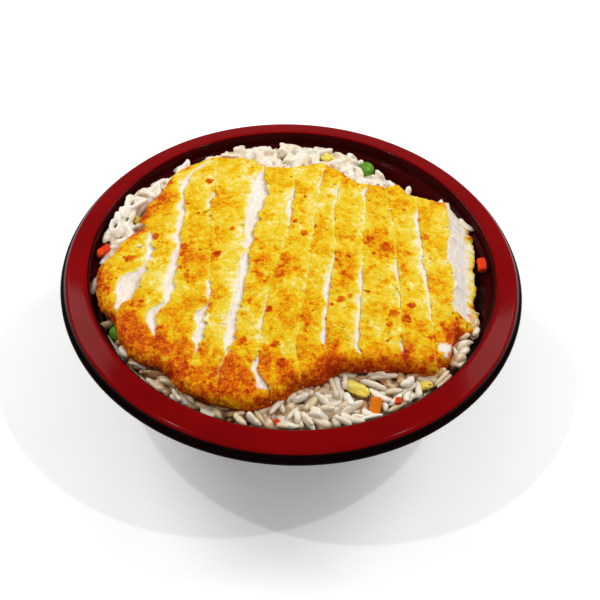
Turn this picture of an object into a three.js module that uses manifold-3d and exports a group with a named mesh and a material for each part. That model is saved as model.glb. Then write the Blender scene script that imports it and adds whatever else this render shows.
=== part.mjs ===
// A takeaway bowl of rice under a crumbed chicken cutlet that is cut into eleven strips.
// Millimetres, +Z up. The origin is at the centre of the foot ring, on the surface the bowl stands on.
// +X is the cutlet's right end, +Y the side away from the viewer.
import * as THREE from 'three';
import { mergeVertices } from 'three/addons/utils/BufferGeometryUtils.js';
import Module from 'manifold-3d';

const wasm = await Module();
wasm.setup();

// Bowl
const RIM_Z = 62;              // height of the rim's inner edge
const RIM_INNER_R = 82.3;
const RIM_OUTER_R = 90;        // outer edge of the rim's sloping top
const LIP_R = 93.3;            // foot of the rim's skirt, the widest place
const FOOT_R = 45;             // outside of the foot ring
const FOOT_RECESS = 2;         // the base stands this far above the foot ring's face
const FLOOR_Z = 4;             // inside floor
const BOWL_SIDES = 44;

// Cutlet
const CUTLET_T = 9;            // thickness, crust to crust
const CROWN_LOW = 2;           // top of the crust above the rim at the cutlet's ends
const CROWN_HIGH = 8;          // and at its middle
const CROWN_R = 78;
const EDGE_R = 4.5;            // how far the crust's rounded edge reaches in
const EDGE_BLUNT = 0.6;        // half the height of the flat that closes a strip's end
const CUT_GAP = 0.75;          // air between neighbouring strips
const CUT_LEAN = 3;            // a cut's foot lies this far to the right of its top
const SHINGLE_UP = 0.5;        // each strip's left edge stands up, its right edge is down
const SHINGLE_DOWN = 0.6;
const CRAG = 0.55;             // height of the crust's crags
const ACROSS = 4;              // faces across a strip's top
const ALONG = 16;              // faces along a strip

// Rice and toppings
const FIT_GAP = 0.4;           // air between the rice and what it touches
const SIMPLIFY = 0.06;         // corners closer than this to a straight face are dropped
const GRAIN_L = 10;
const GRAIN_D = 2.9;
const GRAIN_COUNT = 50;
const PEA_R = 3.4;
const SEED = 41;

// Edge of the cutlet away from the viewer, and the edge near the viewer, as [x, y] from left to right
const FAR_EDGE = [
  [-64, 27], [-61.8, 28.5], [-59.5, 31.5], [-56, 40], [-51, 51],
  [-44, 56], [-38, 61], [-30, 61], [-20, 60], [-14, 54.5], [-4, 55], [4, 57], [10, 60],
  [17, 55], [21, 51], [26, 47.5], [38, 46.5], [43, 49], [47, 42.5], [57, 40.5], [64, 41], [74, 35],
];
const NEAR_EDGE = [
  [-77, -12], [-75, -22], [-72, -29], [-67, -34], [-65, -42], [-59.5, -50.5], [-54, -53.5],
  [-47, -56], [-43, -60], [-39, -64.5], [-33, -68.5], [-24, -70.5], [-17, -73], [-11, -71.5],
  [-6, -69], [-1, -67.5], [2, -62.5], [11, -60], [15, -56], [21, -53], [31, -53], [39, -51.5],
  [52, -51.4], [56, -50.5],
];
// The same edges along the first and the last strip
const FIRST_FAR_EDGE = [
  [-78, -8], [-77, -6.5], [-73.5, -2.6], [-70.6, 1.5], [-69.4, 6.5], [-67.6, 8.4], [-64.9, 11.4],
  [-63.6, 14.5], [-61, 17],
];
const LAST_NEAR_EDGE = [
  [55, -50.9], [58.5, -48], [62.1, -44.6], [62.6, -37], [65.1, -32.7], [70.5, -28.9], [72.4, -24.5],
  [74, -22],
];
// The second strip's own left edge, between those far edges
const BESIDE_FIRST = [[-64, 17], [-62, 20]];

// The cutlet's left end, then each cut from left to right. line is the crust edge of the strip on the
// cut's right, as [x, y] from far to near. white is how wide the bare meat shows, as [y, width].
const LEFT_END = [[-77, 10], [-77, -6], [-76.8, -12], [-75, -22], [-71, -31], [-68, -34]];
const CUTS = [
  {
    line: [
      [-61.4, 29], [-61.6, 24], [-62, 20], [-64, 17], [-61.5, 14], [-57.8, 10], [-56.4, 4.5], [-54.9, -3],
      [-56.8, -8.5], [-58, -19], [-61.5, -26], [-64.4, -29], [-67, -35],
    ],
    white: [
      [11, 0.6], [9, 1], [4, 2.2], [-4, 3.2], [-7, 1.2], [-11, 2.2], [-14, 8], [-19, 9], [-26, 5], [-31, 1.4],
      [-35, 0.9],
    ],
  },
  {
    line: [[-38, 56], [-47, 45], [-47, 39], [-46, 27], [-45, 19], [-45, -27], [-49, -35], [-50, -58]],
    white: [[55, 0.5], [45, 2], [38, 2], [22, 4], [-10, 3.4], [-27, 3], [-32, 3.6], [-42, 3.4], [-46, 0.5]],
  },
  {
    line: [[-35, 57], [-34, 32], [-36, 29], [-34, 13], [-31, -21], [-31, -38], [-35.5, -60], [-36, -71]],
    white: [
      [50, 0.5], [35, 1.5], [28, 0.5], [-12, 0.6], [-18, 2.4], [-26, 1.2], [-34, 4.5], [-43, 3.6], [-50, 0.5],
    ],
  },
  {
    line: [[-15, 53.5], [-12.6, 48], [-13, 36], [-15, 6], [-18, -17], [-20.2, -45], [-24.5, -59], [-25, -75]],
    white: [[56, 1], [50, 4.8], [20, 4.2], [0, 3.2], [-48, 3.2], [-57, 0.6], [-75, 0.5]],
  },
  {
    line: [[-1, 50], [-0.5, 40], [-2.6, 9], [-8, -17.5], [-10.8, -48], [-10, -60], [-5.5, -69], [-4.6, -73]],
    white: [
      [50, 0.6], [42, 1.6], [22, 1.4], [15, 0.5], [-56, 0.6], [-60, 3], [-64, 1.2], [-67, 4.2], [-72, 3.5],
    ],
  },
  {
    line: [[12, 57], [9, 31], [7, 4], [6.6, -11], [3, -47], [5, -59], [6, -66]],
    white: [[50, 0.8], [20, 0.9], [0, 0.5], [-60, 0.5]],
  },
  {
    line: [[19, 50], [16, 24], [17, 5], [14, -35], [14.4, -47], [18, -59]],
    white: [[50, 0.5], [0, 0.7], [-55, 0.5]],
  },
  {
    line: [[30, 45], [28, 12], [28, -18], [27, -32], [27, -46], [30, -58]],
    white: [[40, 1.2], [30, 0.5], [0, 1], [-40, 1.4], [-52, 1.2]],
  },
  {
    line: [[38, 44.5], [41, 11], [42.6, -15], [42.7, -34.5], [44, -56]],
    white: [[30, 0.5], [-5, 1], [-38, 0.9], [-43, 1.6], [-50, 0.6]],
  },
  {
    line: [[51, 40], [52, 7], [54, -16.5], [54.8, -27], [56, -51]],
    white: [[38, 0.6], [26, 1.3], [-20, 1.1], [-32, 0.5]],
  },
];
const RIGHT_END = [
  [63, 41], [64.6, 28], [64.8, 20], [63, 12], [62.4, 5], [64.6, -2], [65, -9], [64, -18], [64.2, -25],
  [65.5, -30], [66, -34],
];
const RIGHT_FOOT = [[66, 41], [69.5, 36], [71.5, 30], [72, 15], [71.5, 0], [70.5, -14], [71, -26], [68, -33]];
const RIGHT_LIP = 3.4;         // bottom crust that stands out beyond that bevelled face
const LIP_TAPER = 9;           // the lip grows to its full width over this length

// Toppings, as [x, y, height below the rim]
const PEAS = [[30, 65.5, 5.2], [-66.5, -34.3, 8.3]];
const CARROTS = [
  { at: [-77.3, 4.6, 2.6], size: [6, 3, 2.6], yaw: 48, tilt: 18 },
  { at: [77.5, 9.2, 4.3], size: [3.4, 6.4, 2.8], yaw: 8, tilt: 0 },
  { at: [33.4, -66.2, 6.1], size: [4.1, 8.6, 2.4], yaw: -2, tilt: 30 },
  { at: [42, -62.8, 5], size: [2.3, 2.6, 2.2], yaw: 6, tilt: 12 },
  { at: [-2.7, -73.6, 7.2], size: [2.4, 2, 2], yaw: 30, tilt: 10 },
  { at: [-63, 23.2, 1.6], size: [1.5, 2.2, 1.8], yaw: 10, tilt: 0 },
];
const EGGS = [
  { at: [27, -58.8, 4.4], size: [10.5, 4.8, 2.2], yaw: -28, tilt: 12 },
  { at: [52, -54.9, 5.2], size: [5.6, 3.4, 2], yaw: 10, tilt: 6 },
  { at: [-65.6, 22.8, 2], size: [2.8, 4.6, 2], yaw: 12, tilt: 4 },
  { at: [13, 68.6, 2.6], size: [6.4, 4.4, 2], yaw: -30, tilt: 10 },
];

const COLOURS = {
  bowl: 0x6e0b0b, rice: 0xe6dfd2, crust: 0xe3a21f, pea: 0x6a9a2c, carrot: 0xdc5a10, egg: 0xe9d06a,
};

// Numbers

// A repeatable source of random numbers between 0 and 1
function randomSource(seed) {
  let state = seed;
  return () => {
    state = (state + 0x6d2b79f5) | 0;
    let t = Math.imul(state ^ (state >>> 15), 1 | state);
    t = (t + Math.imul(t ^ (t >>> 7), 61 | t)) ^ t;
    return ((t ^ (t >>> 14)) >>> 0) / 4294967296;
  };
}

// Straight-line interpolation in a list of [key, value] that is sorted by key, either way
function lookUp(list, key) {
  const rising = list[list.length - 1][0] > list[0][0];
  const points = rising ? list : [...list].reverse();
  if (key <= points[0][0]) return points[0][1];
  for (let i = 1; i < points.length; i++) {
    const [k1, v1] = points[i];
    if (key <= k1) {
      const [k0, v0] = points[i - 1];
      return v0 + (v1 - v0) * (key - k0) / (k1 - k0);
    }
  }
  return points[points.length - 1][1];
}

// x of a line of [x, y] points at height y of the plan
const xAt = (line, y) => lookUp(line.map(([x, lineY]) => [lineY, x]), y);

// Smooth random bumps between -1 and 1, with waves about size long
function bumps(x, y, size, seed) {
  const hash = (i, j) => {
    const s = Math.sin(i * 127.1 + j * 311.7 + seed * 74.7) * 43758.5453;
    return 2 * (s - Math.floor(s)) - 1;
  };
  const i = Math.floor(x / size);
  const j = Math.floor(y / size);
  const fx = THREE.MathUtils.smoothstep(x / size - i, 0, 1);
  const fy = THREE.MathUtils.smoothstep(y / size - j, 0, 1);
  const low = THREE.MathUtils.lerp(hash(i, j), hash(i + 1, j), fx);
  const high = THREE.MathUtils.lerp(hash(i, j + 1), hash(i + 1, j + 1), fx);
  return THREE.MathUtils.lerp(low, high, fy);
}

// Meshes and solids

function indexedGeometry(points, faces) {
  const geometry = new THREE.BufferGeometry();
  geometry.setAttribute('position', new THREE.Float32BufferAttribute(points.flat(), 3));
  geometry.setIndex(faces.flat());
  geometry.computeVertexNormals();
  return geometry;
}

function toSolid(geometry) {
  const bare = geometry.clone();
  bare.deleteAttribute('normal');
  bare.deleteAttribute('uv');
  const merged = mergeVertices(bare, 1e-4);
  return new wasm.Manifold(new wasm.Mesh({
    numProp: 3,
    vertProperties: new Float32Array(merged.attributes.position.array),
    triVerts: new Uint32Array(merged.index.array),
  }));
}

function toGeometry(solid) {
  const mesh = solid.getMesh();
  const geometry = new THREE.BufferGeometry();
  geometry.setAttribute('position', new THREE.BufferAttribute(mesh.vertProperties, 3));
  geometry.setIndex(new THREE.BufferAttribute(mesh.triVerts, 1));
  geometry.computeVertexNormals();
  return geometry;
}

const food = new THREE.Group();

function addMesh(name, geometry, colour, roughness) {
  const material = new THREE.MeshStandardMaterial({ color: colour, roughness, metalness: 0 });
  const mesh = new THREE.Mesh(geometry, material);
  mesh.name = name;
  food.add(mesh);
  return mesh;
}

// Bowl

// Inside of the wall as [height, radius], from the floor to the ledge
const INNER_WALL = [
  [FLOOR_Z, 41], [FLOOR_Z + 1.6, 49], [13, 59.5], [25, 67.5], [38, 73.6], [50, 77.6], [55.2, 79.1],
];
const LEDGE_Z = 55.9;
const LEDGE_IN_R = 79.7;
const LEDGE_OUT_R = 81.1;
const wallRadius = (z) => (z > LEDGE_Z ? LEDGE_OUT_R : lookUp(INNER_WALL, z));

function bowlGeometry() {
  const outerWall = [
    [0, FOOT_RECESS], [FOOT_R - 4, FOOT_RECESS], [FOOT_R - 3, 0], [FOOT_R, 0], [FOOT_R + 1.4, 2.4],
    [51.5, 4.4], [61, 11.8], [69, 24.2], [75.1, 37.4], [79.2, 49.8], [81, 55], [82.5, 56.2], [82.7, 59.6],
  ];
  const rim = [
    [RIM_OUTER_R - 0.6, RIM_Z - 3.4], [90.4, RIM_Z - 6.1], [92.6, RIM_Z - 7.0], [LIP_R, RIM_Z - 6.2],
    [LIP_R - 0.2, RIM_Z - 5], [91.6, RIM_Z - 4], [91, RIM_Z - 2.5], [RIM_OUTER_R, RIM_Z - 1.84],
    [RIM_INNER_R + 1, RIM_Z - 0.1], [RIM_INNER_R, RIM_Z], [RIM_INNER_R - 0.9, RIM_Z - 0.9],
    [LEDGE_OUT_R, RIM_Z - 2], [LEDGE_OUT_R, LEDGE_Z + 0.5], [LEDGE_IN_R, LEDGE_Z],
  ];
  const innerWall = [...INNER_WALL].reverse().map(([z, r]) => [r, z]);
  const profile = [...outerWall, ...rim, ...innerWall, [0, FLOOR_Z]];
  const geometry = new THREE.LatheGeometry(profile.map(([r, z]) => new THREE.Vector2(r, z)), BOWL_SIDES);
  return geometry.rotateX(Math.PI / 2);
}

// Cutlet

const crownTop = (x, y) => RIM_Z + CROWN_LOW
  + (CROWN_HIGH - CROWN_LOW) * (1 - (x * x + y * y) / (CROWN_R * CROWN_R));

// Each strip lies between two lines, each given at the crust's top and at its foot
function stripBorders(index) {
  const first = index === 0;
  const last = index === CUTS.length;
  const left = first ? LEFT_END : CUTS[index - 1].line;
  const right = last ? RIGHT_END : CUTS[index].line;
  return {
    roundLeft: first,
    lip: last ? RIGHT_LIP : 0,
    farEdge: first ? FIRST_FAR_EDGE : FAR_EDGE,
    nearEdge: last ? LAST_NEAR_EDGE : NEAR_EDGE,
    leftTop: (y) => xAt(left, y),
    leftLean: first ? 0 : CUT_LEAN,
    rightTop: (y) => xAt(right, y) - (last ? 0 : Math.max(CUT_GAP, lookUp(CUTS[index].white, y))),
    rightFoot: (y) => (last ? xAt(RIGHT_FOOT, y) : xAt(right, y) + CUT_LEAN - 1.5 * CUT_GAP),
  };
}

// The line along a strip at the share u of its width, as a function of v from its far to its near end
function stripLine(borders, u) {
  const xOn = (y) => THREE.MathUtils.lerp(borders.leftTop(y), borders.rightTop(y), u);
  const meet = (edge, start) => {
    let y = start;
    for (let i = 0; i < 30; i++) y = (y + lookUp(edge, xOn(y))) / 2;
    return y;
  };
  const farY = meet(borders.farEdge, borders.roundLeft ? 0 : 20);
  const nearY = meet(borders.nearEdge, -30);
  return (v) => {
    const y = THREE.MathUtils.lerp(farY, nearY, v);
    return { x: xOn(y), y, toEnd: Math.min(farY - y, y - nearY) };
  };
}

// Sag of a rounded edge at a distance in from it
function edgeSag(distance) {
  const inward = Math.min(Math.max(distance, 0), EDGE_R);
  const full = CUTLET_T / 2 - EDGE_BLUNT;
  return full * (1 - Math.sqrt(1 - (1 - inward / EDGE_R) ** 2));
}

// A closed loft: one ring of points for each step along the strip, and flat ends
function stripGeometry(index) {
  const borders = stripBorders(index);
  const lines = [];
  for (let i = 0; i <= ACROSS; i++) lines.push(stripLine(borders, i / ACROSS));
  const rings = [];
  for (let j = 0; j <= ALONG; j++) {
    const v = (1 - Math.cos(Math.PI * j / ALONG)) / 2;
    const tops = lines.map((line) => line(v));
    const high = [];
    const low = [];
    tops.forEach(({ x, y, toEnd }, i) => {
      const u = i / ACROSS;
      const inset = borders.roundLeft ? Math.min(toEnd, x - borders.leftTop(y) + 0.3) : toEnd;
      const sag = edgeSag(inset);
      const crown = crownTop(x, y) + THREE.MathUtils.lerp(SHINGLE_UP, -SHINGLE_DOWN, u);
      const crag = CRAG * (bumps(x, y, 4.4, index) + 0.6 * bumps(x, y, 9, index + 20));
      const fullFootX = THREE.MathUtils.lerp(borders.leftTop(y) + borders.leftLean, borders.rightFoot(y), u);
      const footX = THREE.MathUtils.lerp(x, fullFootX, 1 - 2 * sag / CUTLET_T);
      high.push([x, y, crown - sag + crag * (1 - sag / CUTLET_T)]);
      low.push([footX, y, crownTop(footX, y) - CUTLET_T + sag + 0.3 * CRAG * bumps(x, y, 5, 9)]);
    });
    const [topRight, footRight] = [high[ACROSS], low[ACROSS]];
    const faceFoot = new THREE.Vector3(...topRight).lerp(new THREE.Vector3(...footRight), 0.82);
    const faceMiddle = new THREE.Vector3(...topRight).lerp(new THREE.Vector3(...footRight), 0.42);
    const lipWidth = borders.lip * Math.min(1, tops[ACROSS].toEnd / LIP_TAPER);
    const lipEnd = [footRight[0] + lipWidth, footRight[1], footRight[2] + 0.2 * (topRight[2] - footRight[2])];
    const foot = borders.lip > 0 ? [lipEnd] : [];
    const leftMiddle = new THREE.Vector3(...high[0]).lerp(new THREE.Vector3(...low[0]), 0.5);
    leftMiddle.x -= borders.roundLeft ? 0.6 : 0;
    rings.push([
      ...high, faceMiddle.toArray(), faceFoot.toArray(), ...foot, ...low.reverse(), leftMiddle.toArray(),
    ]);
  }
  return loft(rings);
}

// Joins rings of equal length with faces and closes both flat ends
function loft(rings) {
  const count = rings[0].length;
  const faces = [];
  for (let j = 0; j + 1 < rings.length; j++) {
    for (let i = 0; i < count; i++) {
      const next = (i + 1) % count;
      const [a, b, c, d] = [j * count + i, j * count + next, (j + 1) * count + next, (j + 1) * count + i];
      faces.push([a, c, b], [a, d, c]);
    }
  }
  const lastRing = (rings.length - 1) * count;
  for (let i = 0, j = count - 1; i + 1 < j; i++, j--) {
    faces.push([i, i + 1, j], [lastRing + i + 1, lastRing + i, lastRing + j]);
    if (i + 1 < j - 1) {
      faces.push([i + 1, j - 1, j], [lastRing + j - 1, lastRing + i + 1, lastRing + j]);
    }
  }
  return indexedGeometry(rings.flat(), faces);
}

// Rice

// Plan outline of the whole cutlet, for the distance from it
const OUTLINE = [
  ...FIRST_FAR_EDGE.slice(0, -1), ...BESIDE_FIRST, ...FAR_EDGE, ...LAST_NEAR_EDGE.slice(1).reverse(),
  ...[...NEAR_EDGE].reverse(),
].map(([x, y]) => new THREE.Vector2(x, y));

// Distance from the cutlet's outline, below zero inside it
function outsideCutlet(x, y) {
  let nearest = Infinity;
  let inside = false;
  OUTLINE.forEach((a, i) => {
    const b = OUTLINE[(i + 1) % OUTLINE.length];
    const [dx, dy] = [b.x - a.x, b.y - a.y];
    const t = THREE.MathUtils.clamp(((x - a.x) * dx + (y - a.y) * dy) / (dx * dx + dy * dy), 0, 1);
    nearest = Math.min(nearest, Math.hypot(x - a.x - t * dx, y - a.y - t * dy));
    if ((a.y > y) !== (b.y > y) && x < a.x + (y - a.y) * dx / dy) inside = !inside;
  });
  return inside ? -nearest : nearest;
}

// The rice is piled higher on the far and left sides than near the viewer
const pile = (x, y) => THREE.MathUtils.smoothstep((y * 0.9 - x * 0.45) / Math.hypot(x, y, 1), -0.35, 0.5);

// Level of the rice's core: a little under the cutlet, and a heap around it that falls towards the wall
const underCutlet = (x, y) => crownTop(x, y) - CUTLET_T - FIT_GAP - 0.7;

function heapTop(x, y) {
  const r = Math.hypot(x, y);
  const wall = 4 * THREE.MathUtils.smoothstep(r, 73, 79);
  const clearOfWall = 1 - THREE.MathUtils.smoothstep(r, 71, 76);
  const hump = THREE.MathUtils.smoothstep(outsideCutlet(x, y), 1.8, 5) * clearOfWall;
  return RIM_Z - 8.6 + (2.6 + 3.6 * hump) * pile(x, y) + 0.6 * bumps(x, y, 5, 3) - wall;
}

const riceTop = (x, y) => (outsideCutlet(x, y) < 0.8 ? underCutlet(x, y) : heapTop(x, y));

// How far the cutlet reaches from the centre in one direction
function cutletReach(angle) {
  let reach = 40;
  while (outsideCutlet(reach * Math.cos(angle), reach * Math.sin(angle)) < 0) reach += 0.5;
  return reach;
}

function riceCoreGeometry() {
  const sides = 40;
  const underShares = [0.3, 0.6, 0.86];
  const heapShares = [0, 0.5, 1];
  const heapR = 76;
  const wallHeights = [50, 38, 25, 13, FLOOR_Z + 2.2];
  const wallGap = FIT_GAP + 0.35;
  const rings = [];
  const ring = (pointAt) => {
    rings.push(Array.from({ length: sides }, (_, k) => pointAt(2 * Math.PI * k / sides)));
  };
  const reachOf = (angle) => Math.min(cutletReach(angle) + 1.6, heapR - 1.2);
  for (const share of underShares) {
    ring((angle) => {
      const r = share * (reachOf(angle) - 2.4);
      const [x, y] = [r * Math.cos(angle), r * Math.sin(angle)];
      return [x, y, underCutlet(x, y)];
    });
  }
  for (const share of heapShares) {
    ring((angle) => {
      const r = THREE.MathUtils.lerp(reachOf(angle), heapR, share);
      const [x, y] = [r * Math.cos(angle), r * Math.sin(angle)];
      return [x, y, heapTop(x, y)];
    });
  }
  for (const z of wallHeights) {
    const r = (wallRadius(z) - wallGap) * (z < FLOOR_Z + 3 ? 0.97 : 1);
    ring((angle) => [r * Math.cos(angle), r * Math.sin(angle), z]);
  }
  const points = [[0, 0, underCutlet(0, 0)], ...rings.flat(), [0, 0, FLOOR_Z + FIT_GAP]];
  const bottom = points.length - 1;
  const faces = [];
  const at = (level, k) => 1 + level * sides + (k % sides);
  for (let k = 0; k < sides; k++) {
    faces.push([0, at(0, k), at(0, k + 1)]);
    for (let level = 0; level + 1 < rings.length; level++) {
      faces.push([at(level, k), at(level + 1, k), at(level + 1, k + 1)]);
      faces.push([at(level, k), at(level + 1, k + 1), at(level, k + 1)]);
    }
    faces.push([at(rings.length - 1, k), bottom, at(rings.length - 1, k + 1)]);
  }
  return indexedGeometry(points, faces);
}

// One grain along X, five-sided, thickest at its middle
function grainGeometry(length, thickness) {
  const sides = 5;
  const stations = [[-0.3, 0.8], [0, 1], [0.3, 0.78]];
  const points = [[-length / 2, 0, 0]];
  for (const [share, width] of stations) {
    for (let k = 0; k < sides; k++) {
      const angle = 2 * Math.PI * k / sides;
      const r = width * thickness / 2;
      points.push([share * length, r * Math.cos(angle), r * Math.sin(angle)]);
    }
  }
  points.push([length / 2, 0, 0]);
  const end = points.length - 1;
  const faces = [];
  const at = (ring, k) => 1 + ring * sides + (k % sides);
  for (let k = 0; k < sides; k++) {
    faces.push([0, at(0, k + 1), at(0, k)]);
    for (let ring = 0; ring + 1 < stations.length; ring++) {
      faces.push([at(ring, k), at(ring, k + 1), at(ring + 1, k + 1)]);
      faces.push([at(ring, k), at(ring + 1, k + 1), at(ring + 1, k)]);
    }
    faces.push([at(stations.length - 1, k), at(stations.length - 1, k + 1), end]);
  }
  return indexedGeometry(points, faces);
}

// True where every corner of a grain is clear of the wall and the cutlet
function grainFits(geometry) {
  const spot = geometry.attributes.position;
  for (let i = 0; i < spot.count; i++) {
    const [x, y, z] = [spot.getX(i), spot.getY(i), spot.getZ(i)];
    const r = Math.hypot(x, y);
    if (r > Math.min(wallRadius(z), 79.3) - FIT_GAP - 0.3) return false;
    if (r > 75.6 && z > RIM_Z - 5.6) return false;
    if (outsideCutlet(x, y) < 1.2 && z > crownTop(x, y) - CUTLET_T - FIT_GAP - 0.3) return false;
  }
  return true;
}

// The hollow that a topping lies in: its own shape, larger all round by the gap
function pocketSolid(mesh) {
  const geometry = mesh.geometry.clone();
  geometry.computeBoundingBox();
  const size = geometry.boundingBox.getSize(new THREE.Vector3());
  geometry.scale(...size.toArray().map((length) => 1 + 2 * FIT_GAP / length));
  mesh.updateMatrix();
  return toSolid(geometry.applyMatrix4(mesh.matrix));
}

function riceGeometry(toppings) {
  const random = randomSource(SEED);
  let solid = toSolid(riceCoreGeometry());
  let placed = 0;
  let tries = 0;
  while (placed < GRAIN_COUNT && tries < 9000) {
    tries += 1;
    const angle = 2 * Math.PI * random();
    const r = 50 + 27 * Math.sqrt(random());
    const [x, y] = [r * Math.cos(angle), r * Math.sin(angle)];
    const outside = outsideCutlet(x, y);
    if (outside < -1) continue;
    const length = GRAIN_L * (0.85 + 0.3 * random());
    const grain = grainGeometry(length, GRAIN_D * (0.9 + 0.2 * random()));
    grain.rotateX(2 * Math.PI * random());
    grain.rotateY((random() - 0.5) * (0.5 + 0.7 * pile(x, y)));
    grain.rotateZ(2 * Math.PI * random());
    grain.translate(x, y, riceTop(x, y) + 0.25 * GRAIN_D + 0.8 * random() * pile(x, y));
    if (!grainFits(grain)) continue;
    solid = solid.add(toSolid(grain));
    placed += 1;
  }
  for (const topping of toppings) solid = solid.subtract(pocketSolid(topping));
  solid = solid.simplify(SIMPLIFY);
  const pieces = solid.decompose().sort((a, b) => b.volume() - a.volume());
  return toGeometry(pieces[0]);
}

// Toppings

// Turns and places a piece that was made about its own centre
function place(mesh, { at: [x, y, below], yaw, tilt }) {
  mesh.position.set(x, y, RIM_Z - below);
  mesh.rotation.set(THREE.MathUtils.degToRad(tilt), 0, THREE.MathUtils.degToRad(yaw), 'ZYX');
}

// A cut cube of carrot with softened, slightly uneven corners
function carrotGeometry([sx, sy, sz], seed) {
  const geometry = mergeVertices(new THREE.BoxGeometry(sx, sy, sz, 3, 3, 2).deleteAttribute('normal')
    .deleteAttribute('uv'));
  const spot = geometry.attributes.position;
  const half = new THREE.Vector3(sx, sy, sz).multiplyScalar(0.5);
  for (let i = 0; i < spot.count; i++) {
    const p = new THREE.Vector3().fromBufferAttribute(spot, i);
    const edges = [p.x / half.x, p.y / half.y, p.z / half.z].filter((share) => Math.abs(share) > 0.99).length;
    p.multiplyScalar(edges === 3 ? 0.86 : edges === 2 ? 0.95 : 1 + 0.04 * bumps(p.x * 3, p.y * 3, 1, seed));
    spot.setXYZ(i, p.x, p.y, p.z);
  }
  geometry.computeVertexNormals();
  return geometry;
}

// A soft scrap of cooked egg, uneven all over
function eggGeometry([sx, sy, sz], seed) {
  const geometry = mergeVertices(new THREE.IcosahedronGeometry(0.5, 1).deleteAttribute('normal')
    .deleteAttribute('uv'));
  const spot = geometry.attributes.position;
  for (let i = 0; i < spot.count; i++) {
    const p = new THREE.Vector3().fromBufferAttribute(spot, i);
    const swell = 1 + 0.16 * bumps(p.x * 4, p.y * 4 + p.z * 3, 1, seed);
    spot.setXYZ(i, p.x * sx * swell, p.y * sy * swell, p.z * sz * swell);
  }
  geometry.computeVertexNormals();
  return geometry;
}

addMesh('bowl', bowlGeometry(), COLOURS.bowl, 0.25);

for (let i = 0; i <= CUTS.length; i++) {
  const name = `chicken_strip_${String(i + 1).padStart(2, '0')}`;
  addMesh(name, stripGeometry(i), COLOURS.crust, 0.85);
}

const toppings = [];
PEAS.forEach(([x, y, below], i) => {
  const pea = addMesh(`pea_${i + 1}`, new THREE.SphereGeometry(PEA_R, 10, 7), COLOURS.pea, 0.45);
  pea.position.set(x, y, RIM_Z - below);
  toppings.push(pea);
});
CARROTS.forEach((carrot, i) => {
  const mesh = addMesh(`carrot_${i + 1}`, carrotGeometry(carrot.size, i), COLOURS.carrot, 0.5);
  place(mesh, carrot);
  toppings.push(mesh);
});
EGGS.forEach((egg, i) => {
  const mesh = addMesh(`egg_${i + 1}`, eggGeometry(egg.size, i + 3), COLOURS.egg, 0.6);
  place(mesh, egg);
  toppings.push(mesh);
});

addMesh('rice', riceGeometry(toppings), COLOURS.rice, 0.55);

export default food;
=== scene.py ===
"""A takeaway bowl of rice under a crumbed chicken cutlet that is cut into eleven strips.

Lengths are in millimetres until a mesh is made, then metres, with +Z up and the origin at the
centre of the foot ring. +X is the cutlet's right end and +Y the side away from the viewer.
"""

import math

import bpy
import numpy as np
from mathutils import Matrix, Vector
from mathutils.kdtree import KDTree


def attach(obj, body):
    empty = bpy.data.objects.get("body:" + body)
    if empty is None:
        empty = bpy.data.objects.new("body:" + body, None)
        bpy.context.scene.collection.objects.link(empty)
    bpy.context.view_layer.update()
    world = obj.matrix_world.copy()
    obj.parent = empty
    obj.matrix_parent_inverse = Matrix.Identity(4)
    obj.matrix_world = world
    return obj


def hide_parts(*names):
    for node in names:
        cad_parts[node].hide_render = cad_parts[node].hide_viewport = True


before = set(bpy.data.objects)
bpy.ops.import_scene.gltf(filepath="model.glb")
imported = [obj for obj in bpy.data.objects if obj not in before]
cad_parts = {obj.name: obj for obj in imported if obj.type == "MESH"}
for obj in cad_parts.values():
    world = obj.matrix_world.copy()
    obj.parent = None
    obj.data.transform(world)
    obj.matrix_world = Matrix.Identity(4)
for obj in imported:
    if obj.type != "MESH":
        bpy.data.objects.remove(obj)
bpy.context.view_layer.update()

MM = 0.001
NO_LIMIT = 1e3                 # a distance past anything here

# Bowl
RIM_Z = 62.0
RIM_INNER_R = 82.3
RIM_OUTER_R = 90.0
LIP_R = 93.3
FLOOR_Z = 4.0
LEDGE_Z = 55.9
LEDGE_IN_R = 79.7
LEDGE_OUT_R = 81.1
BOWL_SIDES = 200
PROFILE_ROUNDING = 0.8
RED_DOWN = 2.6                 # outside, the rim is red down to this depth and black-red below
WALL_PAINTED_SHADE = 0.92              # share of the deep red of painted shade on the inside of the wall
# Inside of the wall as [height, radius], from the floor to the ledge
INNER_WALL = [[4, 41], [5.6, 49], [13, 59.5], [25, 67.5], [38, 73.6], [50, 77.6], [55.2, 79.1]]
# Outside as [radius, height], and the rim from there to the ledge as [radius, depth below its top]
OUTER_WALL = [
    [0, 2], [41, 2], [42, 0], [45, 0], [46.4, 2.4], [51.5, 4.4], [61, 11.8], [69, 24.2],
    [75.1, 37.4], [79.2, 49.8], [81, 55], [82.5, 56.2], [82.7, 59.6],
]
RIM = [
    [RIM_OUTER_R - 0.6, 3.4], [90.4, 6.1], [92.6, 7.0], [LIP_R, 6.2], [LIP_R - 0.2, 5], [91.6, 4],
    [91, 2.5], [RIM_OUTER_R, 1.84], [RIM_INNER_R + 1, 0.1], [RIM_INNER_R, 0],
    [RIM_INNER_R - 0.9, 0.9], [LEDGE_OUT_R, 2],
]

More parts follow.
